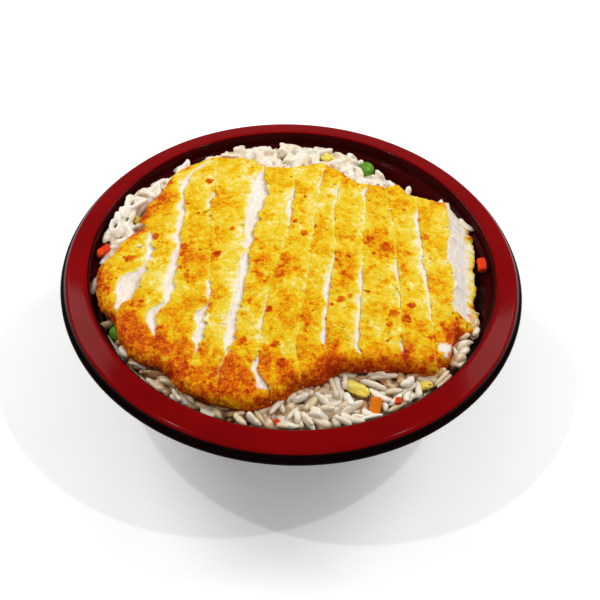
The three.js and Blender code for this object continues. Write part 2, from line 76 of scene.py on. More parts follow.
# Cutlet
CUTLET_T = 9.0
CROWN_LOW = 2.0
CROWN_HIGH = 8.0
CROWN_R = 78.0
EDGE_R = 4.5                   # how far the crust's rounded edge reaches in
CUT_LEAN = 3.0                 # a cut's foot lies this far to the right of its top
CLOSED_CUT = 0.4               # a cut drawn this narrow is closed
OPEN_CUT = 1.0                 # and one this wide is as wide as it is drawn
FACE_GAP = -0.15               # a cut's two faces press into each other this far, down inside it
SHINGLE = 0.05                 # a strip's left edge is this much up, and its right edge this much down
RIGHT_LIP = 3.4                # bottom crust that stands out beyond the right end's face
LIP_TAPER = 9.0
LOBE_OUT = 2.0                 # crust wraps round the near end of that face, this much proud of it
TORN_PATCH = [59.3, -42.6, 2.9, 2.7]    # bare meat on the last strip's near corner, as x, y and radii
SMALL_TEETH = 0.3              # sideways reach of the crumbs along a cut,
LARGE_TEETH = 1.25             # on the right side of a wide one,
END_TEETH = 1.4                # and along the right end
TEETH_LEFT = 2.2               # how far in from its left edge the crust follows its teeth,
TEETH_RIGHT = 1.6              # and from its right edge
STEP = 0.45                    # size of the faces on the crust
END_RINGS = 15                 # rings round each rounded end of a strip
SPAN_Y = -8.0                  # where a strip's breadth is measured, for its number of faces
COARSE_CRUMB = 3.1             # breadth of the larger and the smaller crumbs
FINE_CRUMB = 1.6
FAR_EDGE = [
    [-64, 27], [-61.8, 28.5], [-59.5, 31.5], [-56, 40], [-51, 51],
    [-44, 56], [-38, 61], [-30, 61], [-20, 60], [-14, 54.5], [-4, 55], [4, 57], [10, 60],
    [17, 55], [21, 51], [26, 47.5], [38, 46.5], [43, 49], [47, 42.5], [57, 40.5], [64, 41], [74, 35],
]
NEAR_EDGE = [
    [-77, -12], [-75, -22], [-72, -29], [-67, -34], [-65, -42], [-59.5, -50.5], [-54, -53.5],
    [-47, -56], [-43, -60], [-39, -64.5], [-33, -68.5], [-24, -70.5], [-17, -73], [-11, -71.5],
    [-6, -69], [-1, -67.5], [2, -62.5], [11, -60], [15, -56], [21, -53], [31, -53], [39, -51.5],
    [52, -51.4], [56, -50.5],
]
FIRST_FAR_EDGE = [[-78, -8], [-77, -6.5], [-73.5, -2.6], [-70.6, 1.5], [-69.4, 6.5], [-67.6, 8.4],
                  [-64.9, 11.4], [-63.6, 14.5], [-61, 17]]
BESIDE_FIRST = [[-64, 17], [-62, 20]]
LAST_NEAR_EDGE = [[55, -50.9], [58.5, -48], [62.1, -44.6], [62.6, -37], [65.1, -32.7], [70.5, -28.9],
                  [72.4, -24.5], [74, -22]]
LEFT_END = [[-77, 10], [-77, -6], [-76.8, -12], [-75, -22], [-71, -31], [-68, -34]]
# Each cut from left to right: the crust edge on the cut's right as [x, y], and the bare meat that
# shows as [y, width]
CUTS = [
    ([[-61.4, 29], [-61.4, 24], [-61.8, 20], [-64, 17], [-61.5, 14], [-58.6, 11], [-57.4, 9],
      [-56.4, 4.5], [-55.4, 0], [-54.7, -4], [-56.8, -8.5], [-58, -16], [-59, -21], [-61.5, -26],
      [-64.4, -29], [-66, -33], [-67, -35]],
     [[11, 0.4], [9, 1], [4, 2.2], [-4, 3.2], [-7, 1.2], [-11, 2.2], [-14, 8], [-17, 9], [-22, 8.4],
      [-26, 5], [-29, 3], [-32, 1], [-35, 0.8]]),
    ([[-38, 56], [-42.4, 50], [-45.4, 46.5], [-45, 43], [-44.8, 41], [-46.4, 38], [-46.8, 34],
      [-46, 27], [-45.2, 23], [-45, 11], [-44.5, 8], [-45, 2], [-45, -27], [-46, -30],
      [-49.6, -33], [-50, -58]],
     [[56, 0.6], [50, 1.8], [47, 0.6], [44, 2.6], [41, 4], [38, 2.4], [35, 1.6], [31, 0.9], [28, 1.2],
      [26, 3.6], [22, 2.4], [20, 1.2], [17, 2], [14, 3.2], [11, 1.8], [8, 4], [5, 3.2], [2, 1],
      [-4, 3], [-7, 2.4], [-10, 3.6], [-25, 3.4], [-28, 2.6], [-31, 5], [-34, 4.2], [-37, 4.4],
      [-40, 2.6], [-43, 1.1], [-46, 0.4]]),
    ([[-35, 57], [-34, 32], [-36, 29], [-34, 13], [-31.5, -18], [-30, -21], [-31, -25], [-31, -38],
      [-32, -45], [-35.5, -60], [-36, -71]],
     [[57, 0.4], [36, 0.4], [33, 1.1], [24, 0.9], [21, 0.4], [-16, 0.4], [-21, 2.1], [-24, 1.6],
      [-27, 0.6], [-30, 0.8], [-33, 4.6], [-36, 5], [-39, 2.6], [-42, 2.6], [-45, 4], [-48, 1.2],
      [-51, 0.9], [-55, 0.4]]),
    ([[-15, 53.5], [-13.4, 48], [-13.4, 44.5], [-12.5, 41], [-12, 35.5], [-12.6, 30], [-13.8, 25],
      [-14.5, 19], [-15.4, 14], [-15.8, 8], [-16.8, 2], [-17.4, -3.5], [-16.6, -6.5],
      [-16.8, -13], [-18, -20], [-18.8, -27], [-19.5, -33.5], [-20.3, -48.5], [-24.5, -59],
      [-25, -75]],
     [[56, 0.5], [50, 0.8], [47.5, 2.8], [44.5, 4.2], [41.5, 6.3], [35.5, 6], [30, 6.8], [26, 5.4],
      [20, 5.4], [14, 4.4], [8, 3.4], [5, 2.6], [2.5, 3.2], [0.5, 0.8], [-1.5, 0.8], [-4, 2.4],
      [-6.5, 4], [-15, 3.5], [-22, 2.6], [-31, 2.2], [-33.5, 3.8], [-40, 3.1], [-46, 3.6],
      [-49, 2.6], [-52, 0.8], [-57, 0.7], [-75, 0.4]]),
    ([[-1, 50], [-0.5, 40], [-1, 27], [-1.6, 20], [-2.6, 9], [-8, -17.5], [-10.8, -48], [-10, -60],
      [-7, -64], [-5.5, -69], [-4.6, -73]],
     [[50, 0.4], [40, 0.5], [35, 1.2], [31, 1.2], [29, 2.2], [23, 2], [20, 0.9], [17, 1], [14, 0.6],
      [10, 0.4], [-20, 0.5], [-24, 0.7], [-34, 0.8], [-38, 1], [-41, 0.8], [-44, 0.4], [-52, 0.5],
      [-55, 1.6], [-58, 2.4], [-61, 1.2], [-64, 3.6], [-67, 3.2], [-70, 1.4], [-73, 0.6]]),
    ([[12, 57], [9, 31], [7, 4], [6.6, -11], [3, -47], [5, -59], [6, -66]],
     [[57, 0.4], [48, 0.7], [40, 1], [36, 0.4], [21, 0.6], [17, 0.8], [13, 0.5], [-3, 0.4],
      [-9, 0.7], [-13, 0.6], [-17, 0.3]]),
    ([[19, 50], [16, 24], [17, 5], [14, -35], [14.4, -47], [18, -59]],
     [[50, 0.4], [41, 0.5], [38, 1.6], [35, 0.6], [31, 1], [25, 0.6], [20, 0.4], [2, 0.5], [-1, 0.8],
      [-12, 1], [-16, 2], [-19, 2.2], [-22, 1.8], [-26, 0.7], [-31, 1.2], [-38, 1], [-41, 1.5],
      [-44, 2], [-46, 0.6], [-55, 0.3]]),
    ([[30, 45], [28, 12], [28, -18], [27, -32], [27, -46], [30, -58]],
     [[45, 0.3], [41, 0.8], [39, 2.6], [37, 1.2], [33, 0.8], [28, 0.4], [-3, 0.4], [-7, 0.9],
      [-10, 1.3], [-16, 1.2], [-20, 0.8], [-24, 1.4], [-28, 0.8], [-33, 1.2], [-38, 1.5],
      [-45, 1.6], [-48, 1], [-51, 0.4]]),
    ([[38, 44.5], [41, 11], [42.6, -15], [42.7, -34.5], [44, -56]],
     [[44.5, 0.3], [6, 0.3], [2, 0.5], [-3, 1], [-10, 1], [-13, 0.6], [-18, 0.8], [-25, 0.8],
      [-28, 0.4], [-40, 0.4], [-42.5, 1.1], [-46, 0.8], [-49, 0.3]]),
    ([[51, 40], [51.4, 25], [52, 7], [54, -16.5], [54.8, -27], [55.2, -38], [56, -51]],
     [[38, 0.4], [31, 0.5], [28, 1.2], [25, 1.9], [22, 1.5], [16, 1.1], [10, 1], [6, 0.7], [4, 0.7],
      [1, 1.6], [-6, 1.4], [-11, 1.1], [-17, 0.8], [-20, 0.6], [-23, 0.9], [-26, 0.7], [-29, 1],
      [-31, 0.4], [-50, 0.3]]),
]
RIGHT_END = [[63, 41], [64.6, 28], [64.8, 20], [63, 12], [62.4, 5], [64.6, -2], [65, -9], [64, -18],
             [64.2, -25], [65.5, -30], [66, -34]]
RIGHT_FOOT = [[66, 41], [69.5, 36], [71.5, 30], [72, 15], [71.5, 0], [70.5, -14], [71, -26], [68, -33]]
OUTLINE = np.array(FIRST_FAR_EDGE[:-1] + BESIDE_FIRST + FAR_EDGE + LAST_NEAR_EDGE[1:][::-1]
                   + NEAR_EDGE[::-1], float)

# Browning of the crust, as [x, y, radius, strength]
DARK_SPOTS = [
    [-37, 42, 2.2, 0.5], [-25, 11, 1.8, 0.5], [-30, -3, 2.2, 0.5], [-40, 21, 1.0, 0.5],
    [-35, 19, 1.0, 0.5], [-56, 7, 2.2, 0.5], [-44, 1, 2.2, 0.45], [-65, -5, 3.0, 0.45],
    [4, 10, 2.0, 0.4], [0, 17, 1.2, 0.45], [31, 10, 2.2, 0.5], [29, 7, 1.4, 0.5],
    [32, 2, 1.4, 0.4], [37, 7, 2.0, 0.35], [19, -24, 2.2, 0.45], [23, -22, 1.6, 0.5],
    [16, -27, 1.0, 0.5], [40, -29, 2.6, 0.5], [38, -35, 1.8, 0.35], [45, -31, 2.2, 0.45],
    [47, -24, 2.2, 0.4], [-17, -46, 2.0, 0.45], [-8, -31, 2.2, 0.4], [-5, -47, 2.2, 0.3],
    [-2, -56, 2.4, 0.35],
]
BROWN_PATCHES = [
    [-36, -9, 9, 0.20], [-7, -7, 10, 0.17], [23, -9, 7, 0.16], [35, 7, 9, 0.22],
    [63, -33, 6, 0.20], [23, -59, 10, 0.18], [-35, -60, 12, 0.20], [-48, -49, 11, 0.20],
    [-35, -27, 9, 0.16], [-30, 36, 8, 0.10], [-22, 46, 8, 0.10], [-8, -58, 9, 0.18],
    [-62, -36, 8, 0.22], [-22, -60, 8, 0.14], [-5, -30, 8, 0.12], [8, -42, 8, 0.06],
    [-63, 19, 4, 0.42], [-66, 13, 4, 0.42], [-44, 14, 8, 0.12], [-55, 32, 5, 0.12],
]
PALE_PATCHES = [
    [-19, 24, 5, 0.16], [-19, 38, 5, 0.14], [13, 30, 10, 0.06], [36, -12, 8, 0.08],
    [20, 22, 9, 0.06], [48, 20, 8, 0.04], [-62, -14, 4, 0.14], [-22, 2, 4, 0.12],
    [-48, -22, 8, 0.10], [-30, -38, 7, 0.10], [-62, 2, 5, 0.08], [-47, -38, 6, 0.08],
]
MOST_BROWN = 0.93              # the crust is browner than this only in small spots
FLAKES = 260                   # number of loose crumbs
FLAKE_SEED = 23
FLAKE_SINK = 0.17              # they are sunk into the crust by this share of their size

# Rice
GRAIN_L = 10.6
GRAIN_D = 3.4
GRAIN_LENGTHS = (0.5, 1.12)    # shortest and longest grain, as shares of that length,
GRAIN_WIDTHS = (0.8, 1.12)     # and thinnest and thickest
GRAIN_SIDES = 9
GRAIN_RINGS = 9
GRAIN_REACH = 12.0             # grains whose middles are further apart than this can't touch
AXIS_SPOTS = 7                 # points along a grain's axis that are tested for room
CLOSEST = 0.35                 # grains sink into each other until their axes are this near, in widths
LEVEL_SHARE = 0.8              # this share of the grains lies along the heap's top,
LEVEL_SPREAD = 0.22            # with a spread of this many radians,
STEEP_SPREAD = 0.5             # and the others with a spread of this many
PEA_CLEAR = 0.3                # grains' middles stay this far off a pea,
SCRAP_CLEAR = 0.2              # and this far off the core of a scrap
SCRAP_SLOPE = 0.8              # the rice rises this steeply from a scrap that lies lower than its top
CRISP_DEPTH = 1.2              # grains less deep than this stay apart from the sticky ones below,
CRISP_SIDE = -10.0             # where they lie nearer the viewer than this Y
GRAIN_FINENESS = 0.56          # size of the faces on the skin of the sticky ones
SKIN_SOFT = 0.8                # subsurface weight of the sticky grains,
CRISP_SOFT = 0.35              # of those that stay apart,
CORE_SOFT = 0.5                # and of the core
MOST_GRAINS = 1400
DROPS = 45000
RICE_SEED = 7
# Top of the rice as [direction in degrees, height above the rim, how far out it reaches]
HEAP = [
    [-60, -4.6, 79.4], [-42, -4, 79.2], [-33, -3, 79], [-22, -3, 78.4], [-16, -4.5, 77], [-10, -9, 74],
    [-6, -12, 71], [35, -12, 71], [50, -8, 71], [58, -5, 72], [68, -3, 73.5], [78, -1.4, 75],
    [100, -1.2, 75], [120, -1.4, 74.5], [135, -2, 73], [155, -0.3, 78.4], [165, -1.0, 78.8], [175, -3, 78],
    [184, -11, 75], [204, -11, 75], [212, -8, 78], [250, -7.5, 79.4], [262, -5, 79.6], [300, -4.6, 79.6],
]
BESIDE_CUTLET = 2.0            # the rice is heaped this much higher against the cutlet,
BESIDE_REACH = 9.0             # falling off over this distance
HEAP_FALL = 6.0                # and falls this much where the heap ends
LOOSE_FROM = -3.5              # grains lie outside the cutlet's outline, and this far in under its edge,
LOOSE_TO = 80.5                # with their middles inside this radius
PROUD_SHARE = 0.3              # share of the grains that may stand up out of the heap,
PROUD = 2.2                    # by up to this much
CORE_SHADE_TONE = 0.44               # 0 is amber, 1 is white; the core's low tone is painted shade in the gaps between the grains
CORE_BELOW = 4.6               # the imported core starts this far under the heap's top
GRAIN_DEPTH = 5.0              # loose grains lie down to this depth
CORE_UNDER = 1.1               # the core ends this far under the cutlet,
WALL_CLEAR = 0.35              # this far inside the bowl's wall
FLOOR_CLEAR = 0.4              # and this far above its floor
CORE_SIDES = 360
CORE_RADII = [*np.linspace(2, 44, 12), *np.linspace(46, 77.6, 70)]    # closer together further out
CORE_LUMPS = 3.2               # breadth of the bumps on the core,
LUMP_HEIGHT = 1.2              # and their height
LONE_LENGTH = 0.85             # length of the single grains, as a share of the one above,
LONE_DEPTH = 0.5               # and the depth that they are coloured for
# Single grains beside the heap, as [x, y, how far the middle lies below the rim, yaw, slope]
LONE_GRAINS = [
    [-78.6, -12.3, 5.6, 84, 0.1], [-76.2, -13.4, 6.0, 100, -0.1], [46.8, 46.4, 1.9, 62, 0.5],
    [60.3, 42.2, 3.6, 50, 0.3], [72.2, 31.9, 4.2, -42, -0.1], [-71.4, -30.8, 7.2, 20, 0.1],
    [-68.6, -39.6, 8.4, -50, -0.1], [-65.4, -44.2, 8.6, -42, 0.1], [-76.2, 3.4, 4.8, 70, 0.2],
    [-51, 60, 4.4, 35, 0.4],
]

# Toppings, each at [x, y, how far its middle lies below the rim]
PEAS = [[30, 65.5, 5.2], [-66.5, -34.3, 8.3]]
PEA_R = 3.4
CARROT_POWER = 9.0             # how boxy a cut piece is: 2 would be round
TOPPING_SPLITS = 4             # times that the faces of a topping's round start are split
CARROTS = [
    {"at": [-77.3, 4.6, 2.6], "size": [6, 3, 2.6], "yaw": 48, "tilt": 18, "shade": -0.1},
    {"at": [77.5, 9.2, 4.3], "size": [3.4, 6.4, 2.8], "yaw": 8, "tilt": 0, "shade": -0.1},
    {"at": [33.4, -66.2, 6.1], "size": [4.1, 8.6, 2.4], "yaw": -2, "tilt": 30, "shade": 0.34},
    {"at": [42, -62.8, 5], "size": [2.3, 2.6, 2.2], "yaw": 6, "tilt": 12, "shade": -0.1},
    {"at": [-2.7, -73.6, 7.2], "size": [2.4, 2, 2], "yaw": 30, "tilt": 10, "shade": -0.1},
    {"at": [-63, 23.2, 1.6], "size": [1.5, 2.2, 1.8], "yaw": 10, "tilt": 0, "shade": -0.1},
]
EGGS = [
    {"at": [27, -58.8, 4.4], "size": [10.5, 4.8, 2.2], "yaw": -28, "tilt": 12},
    {"at": [52, -54.9, 5.2], "size": [5.6, 3.4, 2], "yaw": 10, "tilt": 6},
    {"at": [-65.6, 22.8, 2], "size": [2.8, 4.6, 2], "yaw": 12, "tilt": 4},
    {"at": [13, 68.6, 2.6], "size": [6.4, 4.4, 2], "yaw": -30, "tilt": 10},
]

# Camera, found by fitting the rim's circles to the photograph
LENS_MM = 72.0
SENSOR_MM = 36.0
CAMERA_ELEVATION = 47.81
CAMERA_ROLL = 2.92
CAMERA_DISTANCE = 484.0
AIM_RIGHT = -2.9               # the rim's centre lies this far right of the view's axis, and above it
AIM_UP = 14.4

# Studio
SKY_STRENGTH = 0.4
FLOOR_HALF = 1500.0
# Lights as [name, direction, distance in metres, breadth in metres, watts]
LIGHTS = [
    ["light_left", (-0.66, 0.36, 0.66), 1.2, 0.5, 6.3],
    ["light_right", (0.66, 0.36, 0.66), 1.2, 0.5, 6.3],
    ["glint_left", (-0.45, -0.14, 0.88), 0.9, 0.02, 1.2],
    ["glint_right", (0.47, -0.14, 0.88), 0.9, 0.02, 1.2],
]


# Random bumps

def cell_hash(i, j, k, seed):
    """A repeatable number from 0 to 1 for each whole-number cell."""
    n = (i * 374761393 + j * 668265263 + k * 1442695041 + seed * 974634777) & 0xFFFFFFFF
    n = ((n ^ (n >> 13)) * 1274126177) & 0xFFFFFFFF
    n = ((n ^ (n >> 15)) * 668265263) & 0xFFFFFFFF
    return ((n ^ (n >> 14)) & 0xFFFFF) / 0xFFFFF


def noise(points, size, seed):
    """Smooth random bumps between -1 and 1, with waves about size long."""
    q = points / np.asarray(size, float)
    cell = np.floor(q).astype(np.int64)
    f = q - cell
    f = f * f * (3 - 2 * f)
    total = np.zeros(q.shape[:-1])
    for corner in np.ndindex(2, 2, 2):
        weight = np.prod(np.where(corner, f, 1 - f), axis=-1)
        total += weight * cell_hash(*np.moveaxis(cell + corner, -1, 0), seed)
    return 2 * total - 1


def crumb_field(points, size, seed):
    """Height from 0 to 1 of the uneven crumbs that cover a surface, and each crumb's own number."""
    warp = np.stack([noise(points, size * 0.8, seed + 10 + axis) for axis in range(3)], axis=1)
    q = points / size + 0.35 * warp
    cell = np.floor(q).astype(np.int64)
    height = np.full(len(q), -1.0)
    number = np.zeros(len(q))
    for shift in np.ndindex(3, 3, 3):
        home = cell + shift - 1
        i, j, k = home.T
        centre = home + np.stack([cell_hash(i, j, k, seed + axis) for axis in range(3)], axis=1)
        reach = 0.5 + 0.55 * cell_hash(i, j, k, seed + 3)
        dome = reach * (1 - ((q - centre) ** 2).sum(axis=1) / (reach * reach))
        nearer = dome > height
        height = np.where(nearer, dome, height)
        number = np.where(nearer, cell_hash(i, j, k, seed + 4), number)
    return np.clip(height, 0, 1), number


def smoothstep(x, low, high):
    """0 up to low, 1 from high on, and a smooth rise between."""
    t = np.clip((x - low) / (high - low), 0, 1)
    return t * t * (3 - 2 * t)


def lerp(a, b, t):
    return a + (b - a) * t


def fading(distance, reach):
    """1 at no distance, falling towards 0 over a few times reach."""
    return np.exp(-np.maximum(distance, 0) / reach)


def xyz(x, y, z):
    return np.stack(np.broadcast_arrays(x, y, z), axis=-1)


def unit(vectors):
    return vectors / np.linalg.norm(vectors, axis=1, keepdims=True)


def rounded_line(points, blur=0.9):
    """A line of [key, value] points as two arrays, with its corners rounded over about blur."""
    step = 0.2
    points = np.asarray(sorted(points), float)
    keys = np.arange(points[0, 0] - 3 * blur, points[-1, 0] + 3 * blur, step)
    reach = int(3 * blur / step)
    kernel = np.exp(-0.5 * (np.arange(-reach, reach + 1) * step / blur) ** 2)
    values = np.pad(np.interp(keys, points[:, 0], points[:, 1]), reach, mode="edge")
    return keys, np.convolve(values, kernel / kernel.sum(), mode="valid")


def flipped(points):
    return [[value, key] for key, value in points]


# Meshes

def add_mesh(name, points, face_sets, material, attributes=None):
    """A mesh object from points in millimetres and arrays of faces, each array with one face size."""
    mesh = bpy.data.meshes.new(name)
    mesh.vertices.add(len(points))
    mesh.vertices.foreach_set("co", (np.asarray(points) * MM).astype(np.float32).ravel())
    loops = np.concatenate([faces.ravel() for faces in face_sets]).astype(np.int32)
    sizes = np.concatenate([np.full(len(faces), faces.shape[1]) for faces in face_sets])
    mesh.loops.add(len(loops))
    mesh.loops.foreach_set("vertex_index", loops)
    mesh.polygons.add(len(sizes))
    mesh.polygons.foreach_set("loop_start", (np.cumsum(sizes) - sizes).astype(np.int32))
    mesh.update(calc_edges=True)
    for key, values in (attributes or {}).items():
        mesh.attributes.new(key, "FLOAT", "POINT").data.foreach_set("value", values.astype(np.float32))
    mesh.validate()
    mesh.polygons.foreach_set("use_smooth", np.ones(len(mesh.polygons), bool))
    mesh.materials.append(material)
    piece = bpy.data.objects.new(name, mesh)
    bpy.context.scene.collection.objects.link(piece)
    return piece


def dress(piece, slot, *nodes):
    """Hangs the piece on the root body and hides the CAD nodes that it stands for. The slot is not used."""
    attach(piece, "root")
    if nodes:
        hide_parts(*nodes)


def tube_faces(rows, columns):
    """Four-sided faces of a grid of points, row after row, where each row's last point joins its first."""
    j, i = np.meshgrid(np.arange(rows - 1), np.arange(columns), indexing="ij")
    a, b = j * columns + i, j * columns + (i + 1) % columns
    return np.stack([a, a + columns, b + columns, b], axis=-1).reshape(-1, 4)


def fan_faces(tip, start, sides):
    """Triangles from one point to a ring of points that starts at another."""
    k = np.arange(sides)
    return xyz(tip, start + k, start + (k + 1) % sides)


def tube_normals(grid):
    """Unit normals of such a grid of points, pointing out of its faces."""
    along = np.gradient(grid, axis=0)
    across = np.roll(grid, -1, axis=1) - np.roll(grid, 1, axis=1)
    normal = np.cross(along, across)
    return normal / np.maximum(np.linalg.norm(normal, axis=-1, keepdims=True), 1e-9)


# Materials

class Look:
    """A node material with one Principled shader."""

    def __init__(self, name):
        self.material = bpy.data.materials.new(name)
        self.material.use_nodes = True
        self.tree = self.material.node_tree
        self.shader = self.tree.nodes["Principled BSDF"]
        self.place = self.add("ShaderNodeTexCoord").outputs["Object"]

    def add(self, kind, **settings):
        node = self.tree.nodes.new(kind)
        for key, value in settings.items():
            setattr(node, key, value)
        return node

    def put(self, socket, value):
        if isinstance(value, bpy.types.NodeSocket):
            self.tree.links.new(value, socket)
        else:
            socket.default_value = value

    def set(self, **values):
        for key, value in values.items():
            self.put(self.shader.inputs[key.replace("_", " ")], value)

    def attribute(self, name):
        return self.add("ShaderNodeAttribute", attribute_name=name).outputs["Fac"]

    def texture(self, size, detail=2.0, roughness=0.5, distortion=0.0, stretch=(1, 1, 1)):
        """Noise from 0 to 1 with waves about size millimetres long."""
        mapping = self.add("ShaderNodeMapping")
        self.put(mapping.inputs["Vector"], self.place)
        mapping.inputs["Scale"].default_value = [1 / s for s in stretch]
        found = self.add("ShaderNodeTexNoise")
        self.put(found.inputs["Vector"], mapping.outputs["Vector"])
        found.inputs["Scale"].default_value = 1 / (size * MM)
        found.inputs["Detail"].default_value = detail
        found.inputs["Roughness"].default_value = roughness
        found.inputs["Distortion"].default_value = distortion
        return found.outputs["Fac"]

    def math(self, kind, a, b):
        node = self.add("ShaderNodeMath", operation=kind)
        self.put(node.inputs[0], a)
        self.put(node.inputs[1], b)
        return node.outputs["Value"]

    def scaled(self, value, times, plus):
        return self.math("ADD", self.math("MULTIPLY", value, times), plus)

    def varied(self, value, texture, amount):
        """value, raised and lowered by a texture's distance from its middle."""
        sway = self.math("MULTIPLY", self.math("SUBTRACT", texture, 0.5), amount)
        return self.math("ADD", value, sway)

    def ramp(self, value, stops):
        """Colour at value from [place, sRGB colour] stops."""
        node = self.add("ShaderNodeValToRGB")
        elements = node.color_ramp.elements
        while len(elements) < len(stops):
            elements.new(0.5)
        for element, (place, colour) in zip(elements, stops):
            element.position = place
            element.color = linear(colour)
        self.put(node.inputs["Fac"], value)
        return node.outputs["Color"]

    def mix(self, share, a, b):
        node = self.add("ShaderNodeMix", data_type="RGBA")
        self.put(node.inputs[0], share)
        self.put(node.inputs[6], a)
        self.put(node.inputs[7], b)
        return node.outputs[2]

    def bump(self, height, distance, strength, under=None):
        node = self.add("ShaderNodeBump")
        node.inputs["Distance"].default_value = distance * MM
        node.inputs["Strength"].default_value = strength
        self.put(node.inputs["Height"], height)
        if under is not None:
            self.put(node.inputs["Normal"], under)
        return node.outputs["Normal"]


def linear(colour):
    """Linear colour with alpha from sRGB numbers out of 255."""
    shares = [c / 255 for c in colour]
    return [s / 12.92 if s <= 0.04045 else ((s + 0.055) / 1.055) ** 2.4 for s in shares] + [1.0]


def plastic_look():
    look = Look("bowl_plastic")
    cloud = look.texture(26, 3)
    fine = look.texture(1.4, 2)
    red = look.ramp(cloud, [[0.3, (113, 3, 5)], [0.7, (127, 5, 7)]])
    # The deeper red inside the bowl is painted shade.
    deep = look.ramp(cloud, [[0.3, (44, 3, 3)], [0.7, (56, 4, 4)]])
    dark = look.ramp(fine, [[0.35, (8, 1, 1)], [0.65, (13, 1, 1)]])
    inside_painted_shade = look.mix(look.attribute("inside"), red, deep)
    look.set(
        Base_Color=look.mix(look.attribute("outside"), inside_painted_shade, dark),
        Roughness=look.scaled(fine, 0.05, 0.10), Specular_IOR_Level=0.03,
        Normal=look.bump(look.texture(7, 2), 0.05, 0.5, look.bump(fine, 0.01, 0.3)),
    )
    return look.material


def crust_look():
    """Fried crumbs, and the bare cooked meat of the cuts."""
    look = Look("crumbed_chicken")
    meat = look.attribute("meat")
    grit = look.texture(0.9, 3, 0.6)
    brown = look.varied(look.attribute("brown"), grit, 0.80)
    brown = look.varied(brown, look.texture(2.8, 3, 0.6), 0.55)
    # The crust is browner in the crevices between crumbs: painted shade.
    brown = look.math("ADD", brown, look.math("MULTIPLY", look.attribute("crevice_shade"), 0.10))
    crust = look.ramp(brown, [
        [0.0, (234, 224, 180)], [0.14, (231, 212, 120)], [0.3, (225, 197, 58)], [0.48, (221, 180, 14)],
        [0.64, (217, 146, 4)], [0.78, (208, 108, 2)], [0.9, (192, 74, 2)], [1.0, (160, 44, 2)],
    ])
    fibre = look.texture(1.1, 3, 0.6, 0.6, (1, 3.2, 1))
    flesh = look.ramp(fibre, [[0.25, (218, 202, 186)], [0.5, (232, 222, 209)], [0.75, (238, 231, 222)]])
    look.set(
        Base_Color=look.mix(meat, crust, flesh),
        Roughness=look.scaled(grit, 0.3, 0.42), Specular_IOR_Level=0.04,
        Subsurface_Weight=look.math("MULTIPLY", meat, 0.3),
        Subsurface_Radius=(1.0, 0.5, 0.12), Subsurface_Scale=1.3 * MM,
        Normal=look.bump(look.mix(meat, grit, fibre), 0.15, 0.5),
    )
    return look.material


def rice_look():
    """Cooked rice, amber where shade is painted between and under the grains, and whiter at the grains'
    tips.
    """
    look = Look("cooked_rice")
    cloud = look.texture(1.6, 3, 0.55)
    body = look.ramp(look.varied(look.attribute("tone"), cloud, 0.3), [
        [0.0, (112, 54, 18)], [0.2, (188, 138, 80)], [0.42, (220, 194, 150)], [0.66, (231, 217, 194)],
        [1.0, (236, 231, 219)],
    ])
    tip = look.math("MULTIPLY", look.attribute("tip"), 0.3)
    look.set(
        Base_Color=look.mix(tip, body, linear((238, 234, 226))),
        Roughness=look.scaled(cloud, 0.2, 0.08), Specular_IOR_Level=0.4,
        Subsurface_Weight=look.attribute("soft"),
        Subsurface_Radius=(1.0, 0.8, 0.6), Subsurface_Scale=1.4 * MM,
        Normal=look.bump(look.texture(1.1, 2), 0.12, 0.6),
    )
    return look.material


def topping_look(name, stops, size, wet):
    """A moist piece of vegetable or egg, mottled in the colours of its stops."""
    look = Look(name)
    shade = look.math("ADD", look.texture(size, 3, 0.6, 0.4), look.attribute("shade"))
    look.set(
        Base_Color=look.ramp(shade, stops),
        Roughness=look.scaled(look.texture(size * 0.4), 0.25, wet), Specular_IOR_Level=0.12,
        Subsurface_Weight=0.2, Subsurface_Radius=(1.0, 0.7, 0.3), Subsurface_Scale=1.0 * MM,
        Normal=look.bump(look.texture(size * 0.35, 3), 0.12, 0.6),
    )
    return look.material


# Bowl

def rounded_profile(corners, radius):
    """A profile of [radius, height] corners with each corner cut by a short curve."""
    corners = np.asarray(corners, float)
    made = [corners[0]]
    for before, here, after in zip(corners, corners[1:], corners[2:]):
        reach_in = min(radius, 0.45 * np.linalg.norm(here - before))
        reach_out = min(radius, 0.45 * np.linalg.norm(after - here))
        start = here + (before - here) * reach_in / np.linalg.norm(before - here)
        end = here + (after - here) * reach_out / np.linalg.norm(after - here)
        for t in np.linspace(0, 1, 5):
            made.append((1 - t) ** 2 * start + 2 * t * (1 - t) * here + t * t * end)
    made.append(corners[-1])
    return np.array(made)


def make_bowl(material):
    """The bowl, turned from one profile that runs from under the foot over the lip to the floor."""
    rim = [[r, RIM_Z - below] for r, below in RIM]
    ledge = [[LEDGE_OUT_R, LEDGE_Z + 0.5], [LEDGE_IN_R, LEDGE_Z]]
    inner_wall = flipped(reversed(INNER_WALL))
    profile = rounded_profile(OUTER_WALL + rim + ledge + inner_wall + [[0, FLOOR_Z]], PROFILE_ROUNDING)
    angle = 2 * np.pi * np.arange(BOWL_SIDES) / BOWL_SIDES
    r, z = profile.T
    points = xyz(r[:, None] * np.cos(angle), r[:, None] * np.sin(angle), z[:, None]).reshape(-1, 3)
    order = np.arange(len(profile))
    lip = np.argmax(r)
    outside = (order < lip) | ((z < RIM_Z - RED_DOWN) & (r > RIM_OUTER_R))
    # inside marks where the deeper red of painted shade goes, a little less of it below the ledge
    inside = (order > lip) & (r < RIM_INNER_R - 0.1)
    shade = np.where(z > LEDGE_Z + 0.3, 1.0, WALL_PAINTED_SHADE)
    values = {
        "outside": np.repeat(outside.astype(float), BOWL_SIDES),
        "inside": np.repeat(inside * shade, BOWL_SIDES),
    }
    return add_mesh("bowl_body", points, [tube_faces(len(profile), BOWL_SIDES)], material, values)


# Cutlet

